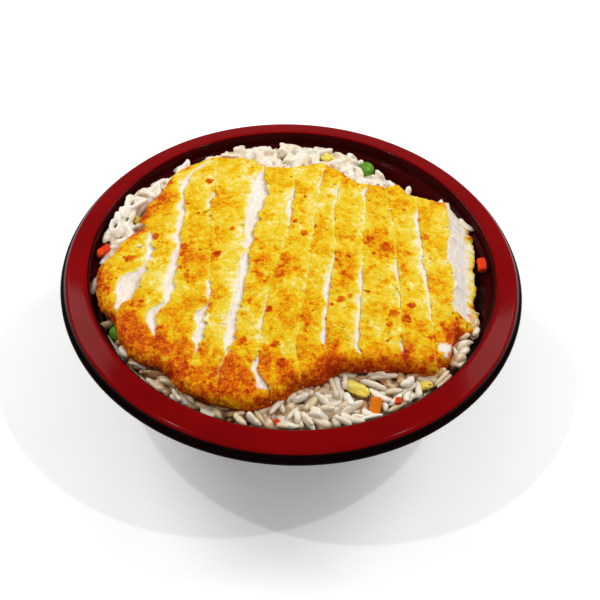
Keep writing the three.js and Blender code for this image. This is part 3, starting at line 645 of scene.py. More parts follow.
def crown_top(x, y):
    """Level of the cutlet's top, which is a low dome."""
    return RIM_Z + CROWN_LOW + (CROWN_HIGH - CROWN_LOW) * (1 - (x * x + y * y) / (CROWN_R * CROWN_R))


def edge_sag(distance):
    """How far the crust's rounded edge has dropped, at a distance in from the outline."""
    inward = np.clip(distance, 0, EDGE_R)
    return CUTLET_T / 2 * (1 - np.sqrt(1 - (1 - inward / EDGE_R) ** 2))


def jag(y, cut, reach):
    """Sideways reach of the crumbs along a cut's crust edge."""
    spot = xyz(y, cut * 3.3, 0)
    return reach * (0.7 * noise(spot, 3.0, 31) + 0.8 * noise(spot, 1.6, 32))


class Strip:
    """One strip of the cutlet, as a closed tube of rings from its far to its near end. A ring runs over the
    top, down the face on the right, back along the bottom and up the face on the left."""

    def __init__(self, index):
        self.index = index
        self.first = index == 0
        self.last = index == len(CUTS)
        self.left_line = rounded_line(flipped(LEFT_END if self.first else CUTS[index - 1][0]))
        self.cut_line = rounded_line(flipped(RIGHT_END if self.last else CUTS[index][0]))
        self.foot_line = rounded_line(flipped(RIGHT_FOOT)) if self.last else self.cut_line
        self.meat_line = None if self.last else rounded_line(CUTS[index][1], 0.7)
        self.meat_before = None if self.first else rounded_line(CUTS[index - 1][1], 0.7)
        self.far_line = rounded_line(FIRST_FAR_EDGE if self.first else FAR_EDGE, 0.7)
        self.near_line = rounded_line(LAST_NEAR_EDGE if self.last else NEAR_EDGE, 0.7)
        self.lay_top()
        self.lay_faces()

    def left(self, y):
        return np.interp(y, *self.left_line)

    def right(self, y):
        return self.cut(y) - self.width(y)

    def cut(self, y):
        """The next strip's crust edge, across the cut on the right."""
        return np.interp(y, *self.cut_line)

    def width(self, y):
        """How wide that cut stands open."""
        if self.last:
            return np.zeros_like(y)
        drawn = np.interp(y, *self.meat_line)
        return drawn * smoothstep(drawn, CLOSED_CUT, OPEN_CUT)

    def bare_at(self, y):
        """1 where the meat shows in that cut, 0 where crust meets crust."""
        return np.ones_like(y) if self.last else smoothstep(np.interp(y, *self.meat_line), 0.4, 1.3)

    def teeth(self, y):
        """Sideways reach of the left edge's crumbs, which overhang the meat where the cut is wide."""
        if self.first:
            return np.zeros_like(y)
        wide = smoothstep(np.interp(y, *self.meat_before), 0.8, 2.4)
        small = jag(y, self.index - 1, SMALL_TEETH)
        return lerp(small, jag(y, self.index - 1, LARGE_TEETH) - 0.35, wide)

    def stations(self, shares):
        """x and y on the top, a row for each ring, and the distances to the closer end and the near one."""
        def x_on(y, u):
            return lerp(self.left(y), self.right(y), u)

        def meet(edge, start):
            y = np.full(len(shares), float(start))
            for _ in range(40):
                y = 0.5 * (y + np.interp(x_on(y, shares), *edge))
            return y

        far_y = meet(self.far_line, 0 if self.first else 20)
        near_y = meet(self.near_line, -30)
        spot = xyz(shares * 15 + far_y, far_y, 0)
        far_y = far_y + 0.5 * noise(spot, 2.2, 5)
        near_y = near_y + 0.5 * noise(spot + 50, 2.2, 6)
        ends = EDGE_R * (1 - np.cos(np.linspace(0, np.pi / 2, END_RINGS)))
        middle = max(2, int((far_y.mean() - near_y.mean() - 2 * EDGE_R) / STEP))
        rows = [far_y - d for d in ends]
        rows += [lerp(far_y - EDGE_R, near_y + EDGE_R, s) for s in np.linspace(0, 1, middle + 2)[1:-1]]
        rows += [near_y + d for d in ends[::-1]]
        y = np.array(rows)
        return x_on(y, shares[None, :]), y, np.minimum(far_y - y, y - near_y), y - near_y

    def lay_top(self):
        """Sets the points of the top and the bottom."""
        self.across = max(18, int(float(self.cut(SPAN_Y) - self.left(SPAN_Y)) / STEP))
        shares = np.linspace(0, 1, self.across + 1)
        x, y, self.to_end, self.to_near = self.stations(shares)
        left, right = self.left(y), self.right(y)
        x = x + self.teeth(y) * np.clip(1 - (x - left) / TEETH_LEFT, 0, 1)
        right_teeth = jag(y, self.index, END_TEETH if self.last else SMALL_TEETH)
        x = x + right_teeth * np.clip(1 - (right - x) / TEETH_RIGHT, 0, 1)
        inset = np.minimum(self.to_end, x - left + 0.2) if self.first else self.to_end
        sag = edge_sag(inset)
        thickness = 1 - 2 * sag / CUTLET_T
        self.flat = xyz(x, y, self.index * 5.0)
        plan = self.flat * [1, 1, 0]
        swell = 0.4 * noise(plan, 10, 21) + 0.25 * noise(plan, 5, 22) + 0.12 * noise(self.flat, 8, 23)
        self.bare = self.bare_at(y[:, -1:])
        cut_edge = 0.03 * fading(x - left, 0.9)
        cut_edge = cut_edge + (0.03 + 0.25 * self.bare) * fading(right - x, 0.9)
        top_z = crown_top(x, y) + lerp(SHINGLE, -SHINGLE, shares[None, :]) - sag
        top_z = top_z + (swell - cut_edge) * thickness
        foot_left = left + (0.0 if self.first else CUT_LEAN)
        foot_right = np.interp(y, *self.foot_line) + (0 if self.last else CUT_LEAN - FACE_GAP)
        foot_x = lerp(x, lerp(foot_left, foot_right, shares[None, :]), thickness)
        foot_z = crown_top(foot_x, y) - CUTLET_T + sag
        self.top = xyz(x, y, top_z)
        self.bottom_count = max(4, self.across // 4)
        pick = np.round(np.linspace(self.across, 0, self.bottom_count + 1)).astype(int)
        self.bottom = xyz(foot_x, y, foot_z)[:, pick]
        self.thickness = thickness[:, -1:]
        self.roundness = sag[:, self.across // 2] / (CUTLET_T / 2)

    def lay_faces(self):
        """Sets the points of the two side faces, and joins all four sides."""
        side_count = int(CUTLET_T / STEP)
        self.s = (np.arange(1, side_count) / side_count) ** 1.5
        top_right, foot = self.top[:, -1:], self.bottom[:, :1]
        self.drop = top_right[..., 2] - foot[..., 2]
        self.depth = self.drop * self.s
        y = np.repeat(self.top[:, -1:, 1], len(self.s), 1)
        x = self.end_face(top_right, foot) if self.last else self.cut_face(y, top_right)
        self.right_face = xyz(x, y, top_right[..., 2] - self.depth)
        left_face = lerp(self.bottom[:, -1:], self.top[:, :1], self.s[None, :, None])
        if self.first:
            left_face[..., 0] -= 0.9 * np.sin(np.pi * self.s)
        self.grid = np.concatenate([self.top, self.right_face, self.bottom, left_face], axis=1)
        self.on_right = slice(self.across + 1, self.across + 1 + len(self.s))
        self.on_bottom = slice(self.on_right.stop, self.on_right.stop + self.bottom_count + 1)
        self.on_left = slice(-len(self.s), None)

    def end_face(self, top_right, foot):
        """x on the cutlet's right end: bare meat over a lip of the bottom crust."""
        s = self.s
        along = xyz(self.top[:, -1, 1], 0, 0)
        uneven = (0.7 * noise(along, 4.0, 75) + 0.5 * noise(along, 1.7, 76))[:, None]
        lip = (RIGHT_LIP + uneven) * np.clip(self.to_end[:, -1:] / LIP_TAPER, 0, 1)
        out = np.interp(s, [0, 0.2, 0.42, 0.72, 0.9, 1], [0, 0.2, 0.52, 0.9, 1, 1])
        shelf = np.interp(s, [0, 0.7, 0.8, 0.9, 1], [0, 0, 0.7, 1, 0.3])
        lobe = smoothstep(-self.to_near[:, -1:], -9.0, -5.5)
        belly = np.interp(s, [0, 0.1, 0.35, 0.7, 1], [0, 0.35, 1, 0.5, 0])
        x = lerp(top_right[..., 0], foot[..., 0], out) + lip * shelf
        return x + LOBE_OUT * lobe * belly * self.thickness

    def cut_face(self, y, top_right):
        """x on a cut's face, which is open at its top and closes further down."""
        width = self.width(y[:, :1])
        slack = 0.14 + 0.09 * width
        gap = FACE_GAP + (width - FACE_GAP) * np.exp(-(np.maximum(self.depth, 0) / slack) ** 1.2)
        face_x = self.cut(y) + CUT_LEAN * self.s - gap
        start_x = self.cut(y[:, :1]) - width
        return top_right[..., 0] + (face_x - start_x) * self.thickness

    def meat(self):
        """1 where the surface is bare cooked meat, 0 where it is crust."""
        meat = np.zeros(self.grid.shape[:2])
        far_crust, near_crust = (1.0, 8.5) if self.last else (0.8, 3.0)
        near_is_closer = self.to_end >= self.to_near - 1e-6
        to_far = self.to_end + NO_LIMIT * near_is_closer
        inner = smoothstep(to_far, far_crust, far_crust + 1.2)
        inner = inner * smoothstep(self.to_near, near_crust, near_crust + 1.4)
        ragged = 0.5 * noise(self.right_face, 2.0, 71) + 0.3 * noise(self.right_face, 0.9, 72)
        above_foot = self.drop - self.depth + ragged
        foot_band = 2.4 if self.last else 1.1
        showing = lerp(self.bare, 1.0, smoothstep(self.depth, 1.2, 2.5))
        face = inner[:, -1:] * showing * smoothstep(above_foot, foot_band, foot_band + 0.5)
        meat[:, self.on_right] = face
        if not self.first:
            left_depth = (1 - self.s[None, :]) * (self.top[:, :1, 2] - self.bottom[:, -1:, 2])
            meat[:, self.on_left] = smoothstep(left_depth, 1.1, 1.4)
        x, y = self.top[..., 0], self.top[..., 1]
        if self.index == 1:
            first_ends = BESIDE_FIRST[0][1]
            meat[:, self.on_left] *= 1 - smoothstep(y[:, :1], first_ends - 2.5, first_ends)
        ragged = 0.5 * noise(self.flat, 2.2, 73) + 0.35 * noise(self.flat, 1.0, 74)
        narrow = 1.0 if self.last else np.clip(self.width(y) / 2.2, 0.15, 1)
        inward = self.right(y) - x - narrow * (0.35 + 0.75 * ragged)
        on_top = smoothstep(-inward, -0.55, 0.15) * inner * self.bare
        if self.last:
            torn_x, torn_y, torn_rx, torn_ry = TORN_PATCH
            away = np.hypot((x - torn_x) / torn_rx, (y - torn_y) / torn_ry)
            on_top = np.maximum(on_top, 1 - smoothstep(away + 0.7 * ragged, 0.8, 1.05))
        meat[:, :self.across + 1] = on_top
        return meat.reshape(-1)

    def brown(self, points, toasted):
        """How dark the crust is, from 0 pale to 1 brown. It is darkest round the cutlet's edge, where it is
        browned, and darker still on the near side as painted shade.
        """
        x, y = points[:, 0], points[:, 1]
        rows, columns = self.grid.shape[:2]
        near_y, far_y = np.interp(x, *self.near_line), np.interp(x, *self.far_line)
        near_half = y < 0.5 * (near_y + far_y)
        rightward = smoothstep(x, -35, 5)
        brown = np.minimum(browning(points, self.index) + toasted, MOST_BROWN)
        # Browner round the edge; on the near half and towards the near edge this is partly browning and
        # partly painted shade.
        brown += np.where(near_half, lerp(0.14, 0.24, rightward), 0.12) * np.repeat(self.roundness, columns)
        brown += lerp(0.10, 0.28, rightward) * fading(y - near_y, 7.5)
        brown += 0.19 * fading(far_y - y, 8)
        pale = 1 - fading(y - near_y, 9)
        if self.first:
            brown += 0.14 * fading(x - self.left(y), 3)
        # Each strip is paler towards its right edge, partly the crust's own tone beside the cut and partly
        # painted light.
        if not self.last:
            edge = self.right(y) - x
            bare = self.bare_at(y)
            brown -= pale * (0.15 + 0.10 * bare) * fading(edge, 1.4)
            brown -= pale * (0.10 + 0.14 * bare) * fading(edge, 4.5)
        # Each strip is browner near its left edge as painted shade, with a thin paler rim right at the
        # edge.
        if not self.first:
            from_left = x - self.left(y)
            brown += 0.10 * fading(from_left, 4.0) - 0.16 * pale * fading(from_left, 0.9) - 0.02
        low = np.zeros((rows, columns))
        low[:, self.on_bottom] = 0.3
        if self.last:
            low[:, self.on_right] = 0.6 * noise(self.right_face, 1.5, 77) - 0.12
        most = MOST_BROWN + 0.16 * noise(points, 2.6, 67) + 0.1 * noise(points, 0.9, 68)
        return np.minimum(brown + low.reshape(-1), most)

    def end_caps(self):
        """Faces that close the tube's two ends, from each ring's top to its bottom."""
        rows, columns = self.grid.shape[:2]
        caps = []
        for row, turned_over in ((0, False), (rows - 1, True)):
            top = row * columns + np.arange(self.across + 1)
            low = row * columns + np.arange(self.on_bottom.start, self.on_bottom.stop)[::-1]
            low = low[np.round(np.linspace(0, self.bottom_count, self.across + 1)).astype(int)]
            quads = np.stack([top[:-1], top[1:], low[1:], low[:-1]], axis=-1)
            caps.append(quads[:, ::-1] if turned_over else quads)
        return caps


def browning(points, index):
    """How dark the crust is away from its edges: clouds, toasted spots and pale specks."""
    x, y = points[:, 0], points[:, 1]
    value = 0.42 + 0.13 * noise(points, 13, 61) + 0.18 * noise(points, 5.5, 62)
    value += 0.24 * smoothstep(noise(points, 3.4, 65) + 0.4 * noise(points, 1.3, 66), 0.36, 0.80)
    value += 0.08 * noise(points + index * 7, 9, 63) + 0.15 * smoothstep(-0.6 * x - y, 5, 85)
    value -= 0.20 * smoothstep(noise(points, 2.6, 69) + 0.4 * noise(points, 1.1, 70), 0.42, 0.9)
    for spots, sign in ((BROWN_PATCHES, 1), (PALE_PATCHES, -1)):
        for at_x, at_y, radius, strength in spots:
            away = np.hypot(x - at_x, y - at_y) / radius
            value += 1.25 * sign * strength * np.exp(-away * away)
    ragged = 0.45 * noise(points, 1.6, 64)
    for at_x, at_y, radius, strength in DARK_SPOTS:
        away = np.hypot(x - at_x, y - at_y) / (0.75 * radius) + ragged
        value += 1.3 * strength * smoothstep(-away, -1.25, -0.65)
    return value


def make_strip(index, material):
    """A strip with its crumbs and fibres, and the places on it for loose crumbs."""
    strip = Strip(index)
    rows, columns = strip.grid.shape[:2]
    points = strip.grid.reshape(-1, 3)
    normals = tube_normals(strip.grid).reshape(-1, 3)
    coarse, coarse_number = crumb_field(points, COARSE_CRUMB, 80)
    fine, fine_number = crumb_field(points, FINE_CRUMB, 90)
    crumbly = 0.36 * coarse + 0.4 * fine + 0.1 * noise(points, 0.8, 95) - 0.25
    crumbly = crumbly + 0.45 * noise(points, 1.5, 94) * np.repeat(strip.roundness, columns)
    fibres = 0.22 * noise(points, (0.9, 3.4, 0.9), 96) + 0.16 * noise(points, (2.4, 5.0, 2.4), 97)
    meat = strip.meat()
    # Each crumb's own browning, and paler crumb tops as a painted highlight.
    toasted = 0.10 * (coarse_number - 0.5) + 0.16 * (fine_number - 0.5) - 0.06 * (fine - 0.45)
    brown = strip.brown(points, toasted)
    pushed = points + normals * lerp(crumbly, fibres - 0.1, meat)[:, None]
    # The hollows between crumbs get painted shade in the material.
    values = {"brown": brown, "meat": meat, "crevice_shade": smoothstep(-crumbly, -0.1, 0.3)}
    faces = [tube_faces(rows, columns), *strip.end_caps()]
    piece = add_mesh(f"crumbed_strip_{index + 1:02d}", pushed, faces, material, values)
    on_top = np.arange(rows * columns) % columns <= strip.across
    crust = np.flatnonzero(on_top & (meat < 0.1) & (np.repeat(strip.to_end[:, -1], columns) > 0.3))
    return piece, (pushed[crust], normals[crust], brown[crust])


def blob(splits=0):
    """An icosahedron with its faces split a number of times, as points on the unit sphere and triangles."""
    g = (1 + 5 ** 0.5) / 2
    corners = np.array([
        [-1, g, 0], [1, g, 0], [-1, -g, 0], [1, -g, 0], [0, -1, g], [0, 1, g],
        [0, -1, -g], [0, 1, -g], [g, 0, -1], [g, 0, 1], [-g, 0, -1], [-g, 0, 1],
    ], float)
    faces = np.array([
        [0, 11, 5], [0, 5, 1], [0, 1, 7], [0, 7, 10], [0, 10, 11], [1, 5, 9], [5, 11, 4],
        [11, 10, 2], [10, 7, 6], [7, 1, 8], [3, 9, 4], [3, 4, 2], [3, 2, 6], [3, 6, 8],
        [3, 8, 9], [4, 9, 5], [2, 4, 11], [6, 2, 10], [8, 6, 7], [9, 8, 1],
    ])
    for _ in range(splits):
        middles = {}
        points = list(corners)

        def middle(a, b):
            key = (min(a, b), max(a, b))
            if key not in middles:
                middles[key] = len(points)
                points.append((corners[a] + corners[b]) / 2)
            return middles[key]

        split = []
        for a, b, c in faces:
            ab, bc, ca = middle(a, b), middle(b, c), middle(c, a)
            split += [[a, ab, ca], [b, bc, ab], [c, ca, bc], [ab, bc, ca]]
        corners, faces = np.array(points), np.array(split)
    return unit(corners), faces


def make_flakes(places, material):
    """Loose crumbs that lie on the crust."""
    rng = np.random.default_rng(FLAKE_SEED)
    spots, normals, browns = [np.concatenate(found) for found in zip(*places)]
    chosen = rng.choice(len(spots), FLAKES, replace=False)
    ball, faces = blob()
    size = rng.uniform(0.5, 1.0, FLAKES) * rng.uniform(0.8, 1.3, FLAKES)
    shape = ball[None] * (1 + 0.28 * rng.normal(size=(FLAKES, len(ball), 1)))
    spread = [rng.uniform(low, high, FLAKES) for low, high in ((0.9, 1.8), (0.6, 1.0), (0.24, 0.4))]
    shape = shape * np.stack(spread, axis=-1)[:, None]
    yaw = rng.uniform(0, 2 * np.pi, FLAKES)
    up = normals[chosen] + rng.normal(0, 0.12, (FLAKES, 3))
    side = unit(np.cross(up, xyz(np.cos(yaw), np.sin(yaw), 0)))
    turn = np.stack([unit(np.cross(side, up)), side, unit(up)], axis=-1)
    shape = np.einsum("nij,nkj->nki", turn, shape) * size[:, None, None]
    points = shape + (spots[chosen] - FLAKE_SINK * size[:, None] * normals[chosen])[:, None]
    all_faces = (faces[None] + len(ball) * np.arange(FLAKES)[:, None, None]).reshape(-1, 3)
    dark = rng.uniform(size=FLAKES) < 0.4
    toasted = np.where(dark, rng.uniform(0.15, 0.4, FLAKES), rng.uniform(-0.3, 0.05, FLAKES))
    tone = np.clip(browns[chosen] + toasted, 0, 0.86)
    none = np.zeros(FLAKES * len(ball))
    values = {"brown": np.repeat(tone, len(ball)), "meat": none, "crevice_shade": none}
    return add_mesh("crust_flakes", points.reshape(-1, 3), [all_faces], material, values)


# Rice

def outside_cutlet(x, y):
    """Distance from the cutlet's outline, below zero inside it."""
    nearest = np.full(np.shape(x), np.inf)
    inside = np.zeros(np.shape(x), bool)
    for a, b in zip(OUTLINE, np.roll(OUTLINE, -1, axis=0)):
        d = b - a
        t = np.clip(((x - a[0]) * d[0] + (y - a[1]) * d[1]) / (d @ d), 0, 1)
        nearest = np.minimum(nearest, np.hypot(x - a[0] - t * d[0], y - a[1] - t * d[1]))
        crosses = (a[1] > y) != (b[1] > y)
        slope = d[0] / d[1] if d[1] else 0.0
        inside ^= crosses & (x < a[0] + (y - a[1]) * slope)
    return np.where(inside, -nearest, nearest)


def heap_limits(x, y):
    """Top of the rice above the rim and how far out it reaches, in the direction of each point."""
    table = np.array(HEAP, float)
    table = np.vstack([table, table[:1] + [360, 0, 0]])
    angle = (np.degrees(np.arctan2(y, x)) - table[0, 0]) % 360 + table[0, 0]
    return np.interp(angle, table[:, 0], table[:, 1]), np.interp(angle, table[:, 0], table[:, 2])


def wall_radius(z):
    """Radius of the bowl's inside at a height."""
    heights, radii = np.array(INNER_WALL).T
    return np.where(z > LEDGE_Z, LEDGE_OUT_R, np.interp(z, heights, radii))


def heap_top(x, y):
    """Level of the heap's top beside the cutlet. It falls off where the heap ends."""
    top, reach = heap_limits(x, y)
    beside = BESIDE_CUTLET * (1 - smoothstep(outside_cutlet(x, y), 0, BESIDE_REACH))
    fall = HEAP_FALL * smoothstep(np.hypot(x, y), reach - 0.5, reach + 4.5)
    return RIM_Z + top + beside - fall


def core_top(x, y):
    """Level of the rice's core: just under the cutlet, and some way under the heap's top beside it."""
    under = np.minimum(crown_top(x, y) - CUTLET_T - CORE_UNDER, RIM_Z)
    return lerp(under, heap_top(x, y) - CORE_BELOW, smoothstep(outside_cutlet(x, y), -4.5, -0.5))


def painted_side_light(x, y):
    """The rice is whiter on the far and left sides than near the viewer: painted light and shade."""
    return 0.16 * smoothstep(y - 0.5 * x, -50, 50) - 0.05


def make_core(material):
    """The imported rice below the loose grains, bumpy where it shows."""
    angle = 2 * np.pi * np.arange(CORE_SIDES) / CORE_SIDES
    ahead_x, ahead_y = np.cos(angle), np.sin(angle)
    rings = []
    for r in CORE_RADII:
        z = core_top(r * ahead_x, r * ahead_y)
        shrink = np.minimum(1, (wall_radius(z) - WALL_CLEAR) / r)
        spot = xyz(r * ahead_x * shrink, r * ahead_y * shrink, z)
        lumps, _ = crumb_field(spot, CORE_LUMPS, 120)
        spot[:, 2] = z + LUMP_HEIGHT * lumps - LUMP_HEIGHT / 2
        rings.append(spot)
    edge_z = rings[-1][:, 2]
    base_z = FLOOR_Z + FLOOR_CLEAR
    for share in np.linspace(0.12, 1, 8):
        z = lerp(edge_z, base_z, share)
        r = wall_radius(z) - WALL_CLEAR
        rings.append(xyz(r * ahead_x, r * ahead_y, z))
    count = len(rings) * CORE_SIDES
    points = np.vstack([*rings, [[0, 0, rings[0][:, 2].mean()], [0, 0, base_z]]])
    top = fan_faces(count, 0, CORE_SIDES)
    bottom = fan_faces(count + 1, count - CORE_SIDES, CORE_SIDES)[:, [0, 2, 1]]
    # The core's amber tone is painted shade in the gaps between the grains, with painted light and shade by
    # side.
    values = {
        "tone": CORE_SHADE_TONE + painted_side_light(points[:, 0], points[:, 1]),
        "tip": np.zeros(len(points)), "soft": np.full(len(points), CORE_SOFT),
    }
    faces = [tube_faces(len(rings), CORE_SIDES), top, bottom]
    return add_mesh("rice_core", points, faces, material, values)


def grain_shape(rng, count, lengths, widths):
    """Grains along X about their own centres: plump, a little bent, with uneven ends."""
    inner = -np.cos(np.linspace(0, np.pi, GRAIN_RINGS + 2))[1:-1]
    angle = 2 * np.pi * np.arange(GRAIN_SIDES) / GRAIN_SIDES
    blunt = rng.uniform(2.4, 5.4, (count, 1))
    radius = (1 - np.abs(inner)[None] ** blunt) ** 0.6
    radius = radius * (1 + rng.uniform(-0.22, 0.22, (count, 1)) * inner[None])
    radius = radius * (1 + 0.07 * rng.normal(size=(count, len(inner))))
    half_l, half_d = lengths[:, None] / 2, widths[:, None] / 2
    bend = rng.uniform(-1.3, 1.3, (count, 1))
    flat = rng.uniform(0.6, 0.92, (count, 1, 1))
    round_y = (half_d * radius)[:, :, None] * np.cos(angle)
    round_z = (half_d * radius)[:, :, None] * np.sin(angle) * flat
    bent = (bend * (inner * inner - 0.4))[:, :, None]
    body = xyz((half_l * inner)[:, :, None], round_y + bent, round_z).reshape(count, -1, 3)
    body = body * (1 + 0.035 * rng.normal(size=(count, body.shape[1], 1)) * [0, 1, 1])
    ends = [xyz(side * half_l, bend * 0.6, 0) for side in (-1, 1)]
    tip = np.concatenate([np.repeat(np.abs(inner), GRAIN_SIDES), [1, 1]]) ** 3
    quads = tube_faces(GRAIN_RINGS, GRAIN_SIDES)[:, ::-1]
    end = GRAIN_RINGS * GRAIN_SIDES
    caps = np.concatenate([
        fan_faces(end, 0, GRAIN_SIDES)[:, [0, 2, 1]], fan_faces(end + 1, end - GRAIN_SIDES, GRAIN_SIDES),
    ])
    return np.concatenate([body, *ends], axis=1), tip, quads, caps


class Heap:
    """Where loose grains may lie: below the rice's top, clear of the cutlet, the wall and the scraps."""

    cell = 0.5
    reach = 84.0

    def __init__(self):
        axis = np.arange(-self.reach, self.reach + self.cell, self.cell)
        self.x, self.y = np.meshgrid(axis, axis, indexing="ij")
        self.outside = outside_cutlet(self.x, self.y)
        spot = xyz(self.x, self.y, 0)
        self.top = heap_top(self.x, self.y) + (0.9 * noise(spot, 9, 131) + 0.5 * noise(spot, 5, 132))
        for scrap in CARROTS + EGGS:
            x, y, below = scrap["at"]
            away = np.hypot(self.x - x, self.y - y) - 0.4 * max(scrap["size"][:2])
            level = RIM_Z - below + 0.3 * scrap["size"][2]
            self.top = np.minimum(self.top, level + SCRAP_SLOPE * np.maximum(away, 0))
        self.slope_x, self.slope_y = np.gradient(self.top, self.cell)
        self.core = core_top(self.x, self.y)
        rise = CUTLET_T / 2 * smoothstep(self.outside, -EDGE_R, 0)
        under = crown_top(self.x, self.y) - CUTLET_T + rise
        self.ceiling = np.where(self.outside < 0, under, NO_LIMIT)
        self.taken = np.zeros(self.x.shape, bool)

    def block(self, x, y, radius):
        """Keeps grains out of a circle."""
        self.taken |= np.hypot(self.x - x, self.y - y) < radius

    def index(self, x, y):
        """The cell that each point is in."""
        i = np.clip(np.round((x + self.reach) / self.cell).astype(int), 0, self.x.shape[0] - 1)
        j = np.clip(np.round((y + self.reach) / self.cell).astype(int), 0, self.x.shape[1] - 1)
        return i, j

    def fits(self, spots, radius, spare):
        """True where a grain with this axis keeps clear. It may stand up by spare."""
        x, y, z = spots.T
        i, j = self.index(x, y)
        if self.taken[i, j].any() or (z + radius > self.ceiling[i, j]).any():
            return False
        if (z + 0.2 * radius > self.top[i, j] + spare).any():
            return False
        return not (np.hypot(x, y) + 0.8 * radius > wall_radius(z - radius) - 0.15).any()


def drop_grains(heap, rng):
    """Places of the loose grains as [x, y, z, yaw, pitch, length, width, depth below the top]."""
    placed = []
    axes = np.zeros((MOST_GRAINS, AXIS_SPOTS, 3))
    share = np.linspace(-0.5, 0.5, AXIS_SPOTS)
    open_cells = np.argwhere((heap.outside > LOOSE_FROM) & (np.hypot(heap.x, heap.y) < LOOSE_TO))
    for i, j in open_cells[rng.integers(0, len(open_cells), DROPS)]:
        count = len(placed)
        if count >= MOST_GRAINS:
            break
        length = GRAIN_L * rng.uniform(*GRAIN_LENGTHS)
        width = GRAIN_D * rng.uniform(*GRAIN_WIDTHS)
        yaw = rng.uniform(0, 2 * math.pi)
        slope = heap.slope_x[i, j] * math.cos(yaw) + heap.slope_y[i, j] * math.sin(yaw)
        spread = LEVEL_SPREAD if rng.uniform() < LEVEL_SHARE else STEEP_SPREAD
        pitch = math.atan(slope) + rng.normal(0, spread)
        spare = rng.uniform(0, PROUD) if rng.uniform() < PROUD_SHARE else 0.0
        depth = 0.3 * width - 0.7 * spare + (GRAIN_DEPTH - 0.3 * width) * rng.uniform() ** 1.5
        z = max(heap.top[i, j] - depth, heap.core[i, j] + 0.1 * width)
        level = math.cos(pitch)
        ahead = np.array([math.cos(yaw) * level, math.sin(yaw) * level, math.sin(pitch)])
        centre = np.array([heap.x[i, j], heap.y[i, j], z])
        spots = centre + (share * length)[:, None] * ahead
        radius = 0.5 * width * np.sqrt(1 - (1.9 * share) ** 2)
        if not heap.fits(spots, radius, spare):
            continue
        near = np.abs(axes[:count, AXIS_SPOTS // 2] - centre).max(axis=1) < GRAIN_REACH
        if near.any():
            gaps = spots[:, None] - axes[:count][near].reshape(1, -1, 3)
            if (gaps ** 2).sum(axis=-1).min() < (CLOSEST * width) ** 2:
                continue
        axes[count] = spots
        placed.append([*centre, yaw, pitch, length, width, heap.top[i, j] - z])
    return placed


def fused(loose, size):
    """Points and faces of one skin round all of an object's overlapping parts. The object is used up."""
    stick = loose.modifiers.new("stick", "REMESH")
    stick.mode = "VOXEL"
    stick.voxel_size = size * MM
    found = loose.evaluated_get(bpy.context.evaluated_depsgraph_get())
    mesh = found.to_mesh()
    points = np.empty(3 * len(mesh.vertices), np.float32)
    mesh.vertices.foreach_get("co", points)
    corners = np.empty(len(mesh.loops), np.int32)
    mesh.loops.foreach_get("vertex_index", corners)
    found.to_mesh_clear()
    bpy.data.meshes.remove(loose.data)
    return points.reshape(-1, 3).astype(float) / MM, corners.reshape(-1, 4)


def nearest_grain(points, middles, halves):
    """Which grain each point is on, and how far along it, from -1 to 1."""
    share = np.linspace(-0.85, 0.85, AXIS_SPOTS)
    spots = (middles[:, None] + share[:, None] * halves[:, None]).reshape(-1, 3)
    tree = KDTree(len(spots))
    for number, spot in enumerate(spots):
        tree.insert(spot, number)
    tree.balance()
    grain = np.array([tree.find(p)[1] for p in points]) // AXIS_SPOTS
    half = halves[grain]
    along = ((points - middles[grain]) * half).sum(axis=1) / (half * half).sum(axis=1)
    return grain, along


def rotations(angles, a, b):
    """Matrices that turn axis a towards axis b, one for each angle."""
    turn = np.tile(np.eye(3), (len(angles), 1, 1))
    turn[:, a, a] = turn[:, b, b] = np.cos(angles)
    turn[:, b, a] = np.sin(angles)
    turn[:, a, b] = -turn[:, b, a]
    return turn


def grain_tones(rng, x, y, depth):
    """How white each grain is: less so deep down and in the cutlet's shade on the near side, both painted
    shade.
    """
    tone = rng.normal(0.74, 0.13, len(x)) - 0.12 * np.clip(depth - 0.8, 0, 5) + painted_side_light(x, y)
    shaded = fading(outside_cutlet(x, y), 3.5) * smoothstep(-y, -10, 20)
    return np.clip(tone - 0.22 * shaded, 0.1, 1)


